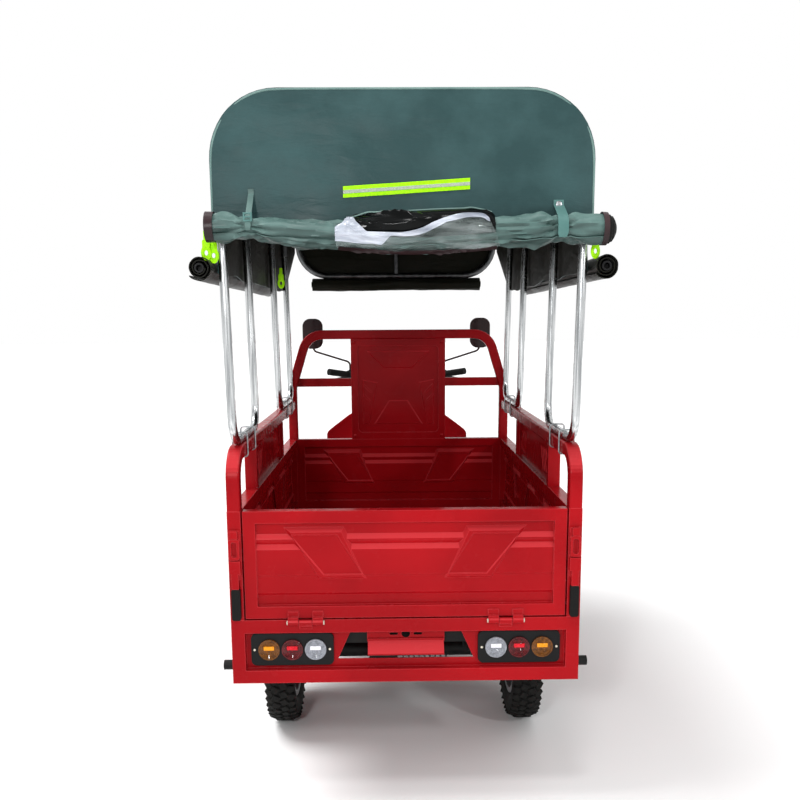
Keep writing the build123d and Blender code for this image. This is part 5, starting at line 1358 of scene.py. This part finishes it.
# Padded pieces: node, how far the start shape stands in, how far it may swell, sewn lines' places across
PAD_ROWS = (
    ("seat_cushion", 0.016, 0.015, (-0.085, 0.085)),
    ("backrest_pad", 0.013, 0.012, (0.0,)),
)
PAD_ROUND = 0.018
PAD_VOXEL = 0.006
PAD_PRESSURE = 4.0
PAD_FRAMES = 20
SEAM_HALF = 0.011
SEAM_DEPTH = 0.007


class TRICYCLE_OT_seat(Operator):
    """Pads the seat and the backrest, with their sewn channels"""

    bl_idname = "tricycle.seat"
    bl_label = "Seat"

    def execute(self, context):
        for node, inset, swell, seams in PAD_ROWS:
            low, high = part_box(node)
            step = Vector((inset, inset, inset))
            pad = add_block(f"{node}_padded", low + step, high - step, PAD_ROUND, 3)
            finish_modifier(pad, "REMESH", mode="VOXEL", voxel_size=PAD_VOXEL)
            self.swell(context, pad, swell)
            middle = (low + high) / 2
            thin = min(range(3), key=lambda number: (high - low)[number])

            def sew(point, seams=seams, middle=middle, thin=thin, low=low, high=high):
                dip = max(exp(-(((point.x - seam) / SEAM_HALF) ** 2)) for seam in seams)
                way = 1 if point[thin] > middle[thin] else -1
                quarter = (high - low)[thin] / 4
                depth = SEAM_DEPTH * dip * min(1.0, abs(point[thin] - middle[thin]) / quarter)
                point[thin] -= way * depth
                for number in range(3):
                    point[number] = min(max(point[number], low[number] + CLEAR), high[number] - CLEAR)
                return point

            reshape(pad, sew)
            finish_modifier(pad, "SUBSURF", levels=1, render_levels=1)
            wear(soften(pad, CLOTH_EDGE), "seat_vinyl", nodes=(node,))
        return {"FINISHED"}

    def swell(self, context, pad, cap):
        """Blows the pad up a little as cloth and keeps the shape."""
        start = [point.co.copy() for point in pad.data.vertices]
        take(pad)
        cloth = pad.modifiers.new("swell", "CLOTH")
        cloth.settings.use_pressure = True
        cloth.settings.uniform_pressure_force = PAD_PRESSURE
        cloth.settings.effector_weights.gravity = 0.0
        for number in range(1, PAD_FRAMES + 1):
            context.scene.frame_set(number)
        bpy.ops.object.modifier_apply(modifier=cloth.name)
        context.scene.frame_set(1)
        for point, place in zip(pad.data.vertices, start):
            move = point.co - place
            if move.length > cap:
                point.co = place + move.normalized() * cap


# Hinge pins: places of a pin's two ends across, place ahead of the cover's rear and height, then a head's
# length, radius and rounding
HINGE_PIN_X = (0.2358, 0.3362)
HINGE_PIN = (-0.00935, 0.571)
PIN_HEAD = (0.0035, 0.0065, 0.0012)
# Domed bolts at the corners of the headboard panel: half spacing across, heights, outline of a head
BOLT_X = 0.196
BOLT_Z = (0.909, 1.328)
BOLT_HEAD = (
    (0.0, 0.0), (0.0, 0.0075), (0.0015, 0.0075), (0.0035, 0.006), (0.0048, 0.0035), (0.0052, 0.0)
)


class TRICYCLE_OT_fasteners(Operator):
    """Adds the heads of the hinge pins and the headboard's bolts"""

    bl_idname = "tricycle.fasteners"
    bl_label = "Fasteners"

    def execute(self, context):
        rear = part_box("canopy_roof")[0].y
        length, radius, rounding = PIN_HEAD
        heads = []
        for side in (-1, 1):
            for x, way in zip(HINGE_PIN_X, (-1, 1)):
                spot = Vector((side * x, rear + HINGE_PIN[0], HINGE_PIN[1]))
                end = spot + Vector((side * way * length, 0, 0))
                heads.append(add_drum("hinge_pin_head", spot, end, radius, 24, rounding))
        wear(soften(join("hinge_pin_heads", heads)), "zinc_steel", "pin")
        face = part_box("headboard_panel")[0].y
        bolts = [
            spun("headboard_bolt", BOLT_HEAD, (side * BOLT_X, face, z), (0, -1, 0), 24)
            for side in (-1, 1)
            for z in BOLT_Z
        ]
        wear(soften(join("headboard_bolts", bolts)), "red_paint")
        return {"FINISHED"}


TYRE_NODES = {
    "front_tyre": "front_wheel",
    "rear_left_tyre": "rear_wheel_left",
    "rear_right_tyre": "rear_wheel_right",
}
# A tyre's section from the bead outward: half width and radius; share of the half width and radius;
# share of the half width and depth below the tread's ground
TYRE_BEAD = ((0.0345, 0.1525), (0.0355, 0.168))
TYRE_WALL = ((0.88, 0.178), (0.97, 0.19), (1.0, 0.205), (0.985, 0.217), (0.93, 0.2275))
TYRE_CROWN = ((0.84, 0.008), (0.6, 0.0015), (0.25, 0.0))
# Rows of tread blocks: share of the half width, half width, slant, offset round the tyre as a share of
# the pitch, then the drop below the crown and the lean
LUG_ROWS = (
    (-0.78, 0.012, 0.35, 0.0, 0.0085, -0.33),
    (-0.29, 0.0115, -0.5, 0.5, 0.0, 0.0),
    (0.29, 0.0115, 0.5, 0.0, 0.0, 0.0),
    (0.78, 0.012, -0.35, 0.5, 0.0085, 0.33),
)
# A block: half length as a share of the pitch, root below the tread's ground, gap to the solid, rounding
LUG_LENGTH = 0.33
LUG_ROOT = 0.006
LUG_GAP = 0.0005
LUG_ROUND = 0.0015


class TRICYCLE_OT_tyres(Operator):
    """Moulds the tyres with ribbed walls and road tread"""

    bl_idname = "tricycle.tyres"
    bl_label = "Tyres"

    def execute(self, context):
        sizes = context.scene.tricycle_sizes
        for node, body in TYRE_NODES.items():
            low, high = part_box(node)
            middle = (low + high) / 2
            radius = (high.z - low.z) / 2
            half = (high.x - low.x) / 2
            tyre = self.carcass(node, middle, radius - sizes.tread, half)
            lugs = self.tread(node, middle, radius, half, sizes)
            whole = join(f"{node}_moulded", [tyre] + lugs)
            wear(soften(whole, 30), "tyre_rubber", nodes=(node,), body=body)
        return {"FINISHED"}

    def carcass(self, node, middle, ground, half):
        """The tyre body, its section spun round the axle."""
        section = [
            *TYRE_BEAD,
            *((half * share, out) for share, out in TYRE_WALL),
            *((half * share, ground - depth) for share, depth in TYRE_CROWN),
        ]
        outline = section + [(-x, out) for x, out in reversed(section)]
        return spun(f"{node}_carcass", outline, middle, (1, 0, 0), 72)

    def tread(self, node, middle, radius, half, sizes):
        """Staggered blocks in rows round the tyre."""
        pitch = 2 * pi / sizes.lugs
        length = radius * pitch * LUG_LENGTH
        lugs = []
        for across, width, slant, offset, drop, lean in LUG_ROWS:
            top = radius - drop
            root = top - sizes.tread - LUG_ROOT
            lug = add_block(
                f"{node}_lug", (-width, -length, root), (width, length, top - LUG_GAP), LUG_ROUND, 1
            )
            base = Matrix.Translation((across * half, 0, 0)) @ Matrix.Rotation(slant, 4, "Z")
            up = Matrix.Translation((0, 0, top))
            lug.data.transform(base @ up @ Matrix.Rotation(lean, 4, "Y") @ up.inverted())
            for number in range(sizes.lugs):
                turn = Matrix.Rotation(pitch * (number + offset), 4, "X")
                lugs.append(copy_of(lug, f"{node}_lug_{number}", Matrix.Translation(middle) @ turn))
            bpy.data.objects.remove(lug)
        return lugs


CAMERA_PLACE = (-0.04306, -3.73999, 1.41188)
CAMERA_YAW = 0.0162
CAMERA_PITCH = -0.1618
CAMERA_ROLL = -0.0066
CAMERA_LENS = 38.384
CAMERA_SHIFT = (-0.00375, 0.0779)
FLOOR_HALF = 60.0
# Brightness of the sky's light at the horizon and overhead, so that the ground under the bed stays dark
SKY_LOW = 0.16
SKY_HIGH = 0.95
# Lamps: name, kind, place, target, power, and the sun's angle or the softbox's size
LAMPS = (
    ("key_sun", "SUN", (-3.6, 0.6, 7), (0, 0, 0), 2.1, {"angle": 0.5}),
    ("rear_softbox", "AREA", (-0.9, -4.8, 2.15), (0, -0.5, 0.7), 40, {"size": 0.3}),
    ("right_softbox", "AREA", (2.4, -4.0, 2.4), (0.3, -1.4, 1.5), 24, {"size": 0.25}),
    ("top_softbox", "AREA", (0.1, -2.8, 4.2), (0, -1.4, 0.9), 24, {"size": 0.5}),
)


class TRICYCLE_OT_stage(Operator):
    """Sets the white floor, the soft lights and the camera"""

    bl_idname = "tricycle.stage"
    bl_label = "Stage"

    def execute(self, context):
        clear_selection()
        bpy.ops.mesh.primitive_plane_add(size=2 * FLOOR_HALF, location=(0, 0, 0))
        floor = named("floor")
        floor.data.materials.append(studio_floor())
        self.sky(context)
        for row in LAMPS:
            self.lamp(context, *row)
        camera = bpy.data.objects.new("photo_camera", bpy.data.cameras.new("photo_camera"))
        camera.data.lens = CAMERA_LENS
        camera.data.shift_x, camera.data.shift_y = CAMERA_SHIFT
        turn = Matrix.Rotation(-CAMERA_YAW, 4, "Z") @ Matrix.Rotation(pi / 2 + CAMERA_PITCH, 4, "X")
        roll = Matrix.Rotation(CAMERA_ROLL, 4, "Z")
        camera.matrix_world = Matrix.Translation(CAMERA_PLACE) @ turn @ roll
        context.scene.collection.objects.link(camera)
        context.scene.camera = camera
        context.scene.view_settings.view_transform = "Standard"
        return {"FINISHED"}

    def sky(self, context):
        """White to the camera, in reflections and through film, and a soft dome of light to the rest."""
        world = bpy.data.worlds.new("white_studio")
        context.scene.world = world
        world.use_nodes = True
        tree = world.node_tree
        tree.nodes.clear()
        rays = put(tree, "LightPath").outputs
        seen = rays["Is Camera Ray"]
        for ray in ("Is Glossy Ray", "Is Transmission Ray"):
            seen = put(tree, "Math", {0: seen, 1: rays[ray]}, operation="ADD", use_clamp=True)
        way = put(tree, "TexCoord").outputs["Generated"]
        height = put(tree, "SeparateXYZ", {"Vector": way}).outputs["Z"]
        dome = put(tree, "MapRange", {"Value": height, "To Min": SKY_LOW, "To Max": SKY_HIGH})
        level = put(tree, "MapRange", {"Value": seen, "To Min": dome, "To Max": 1.0})
        sky = put(tree, "Background", {"Color": (1, 1, 1, 1), "Strength": level})
        put(tree, "OutputWorld", {"Surface": sky})

    def lamp(self, context, name, kind, place, target, power, settings):
        """A lamp at a place, aimed at a target."""
        data = bpy.data.lights.new(name, kind)
        data.energy = power
        for key, value in settings.items():
            setattr(data, key, value)
        lamp = bpy.data.objects.new(name, data)
        run = Vector(target) - Vector(place)
        lamp.matrix_world = Matrix.Translation(place) @ run.to_track_quat("-Z", "Y").to_matrix().to_4x4()
        context.scene.collection.objects.link(lamp)


class TRICYCLE_PT_panel(Panel):
    """Lists the dressing steps and their settings"""

    bl_label = "Cargo Tricycle"
    bl_space_type = "VIEW_3D"
    bl_region_type = "UI"
    bl_category = "Tricycle"

    def draw(self, context):
        for group in (context.scene.tricycle_colours, context.scene.tricycle_sizes):
            for name in group.__annotations__:
                self.layout.prop(group, name)
        for step in STEPS:
            self.layout.operator(step.bl_idname)


STEPS = (
    TRICYCLE_OT_finishes,
    TRICYCLE_OT_cover,
    TRICYCLE_OT_rear_roll,
    TRICYCLE_OT_trim,
    TRICYCLE_OT_side_rolls,
    TRICYCLE_OT_lamps,
    TRICYCLE_OT_seat,
    TRICYCLE_OT_fasteners,
    TRICYCLE_OT_tyres,
    TRICYCLE_OT_stage,
)
GROUPS = (TricycleColours, TricycleSizes)


def register():
    """Registers the settings, the steps and the panel."""
    for kind in (*GROUPS, *STEPS, TRICYCLE_PT_panel):
        bpy.utils.register_class(kind)
    bpy.types.Scene.tricycle_colours = PointerProperty(type=TricycleColours)
    bpy.types.Scene.tricycle_sizes = PointerProperty(type=TricycleSizes)


def unregister():
    """Takes the settings, the steps and the panel away again."""
    del bpy.types.Scene.tricycle_sizes
    del bpy.types.Scene.tricycle_colours
    for kind in reversed((*GROUPS, *STEPS, TRICYCLE_PT_panel)):
        bpy.utils.unregister_class(kind)


def main():
    """Runs the dressing steps in order."""
    register()
    for step in STEPS:
        family, name = step.bl_idname.split(".")
        getattr(getattr(bpy.ops, family), name)()
    clear_selection()


if __name__ == "__main__":
    main()
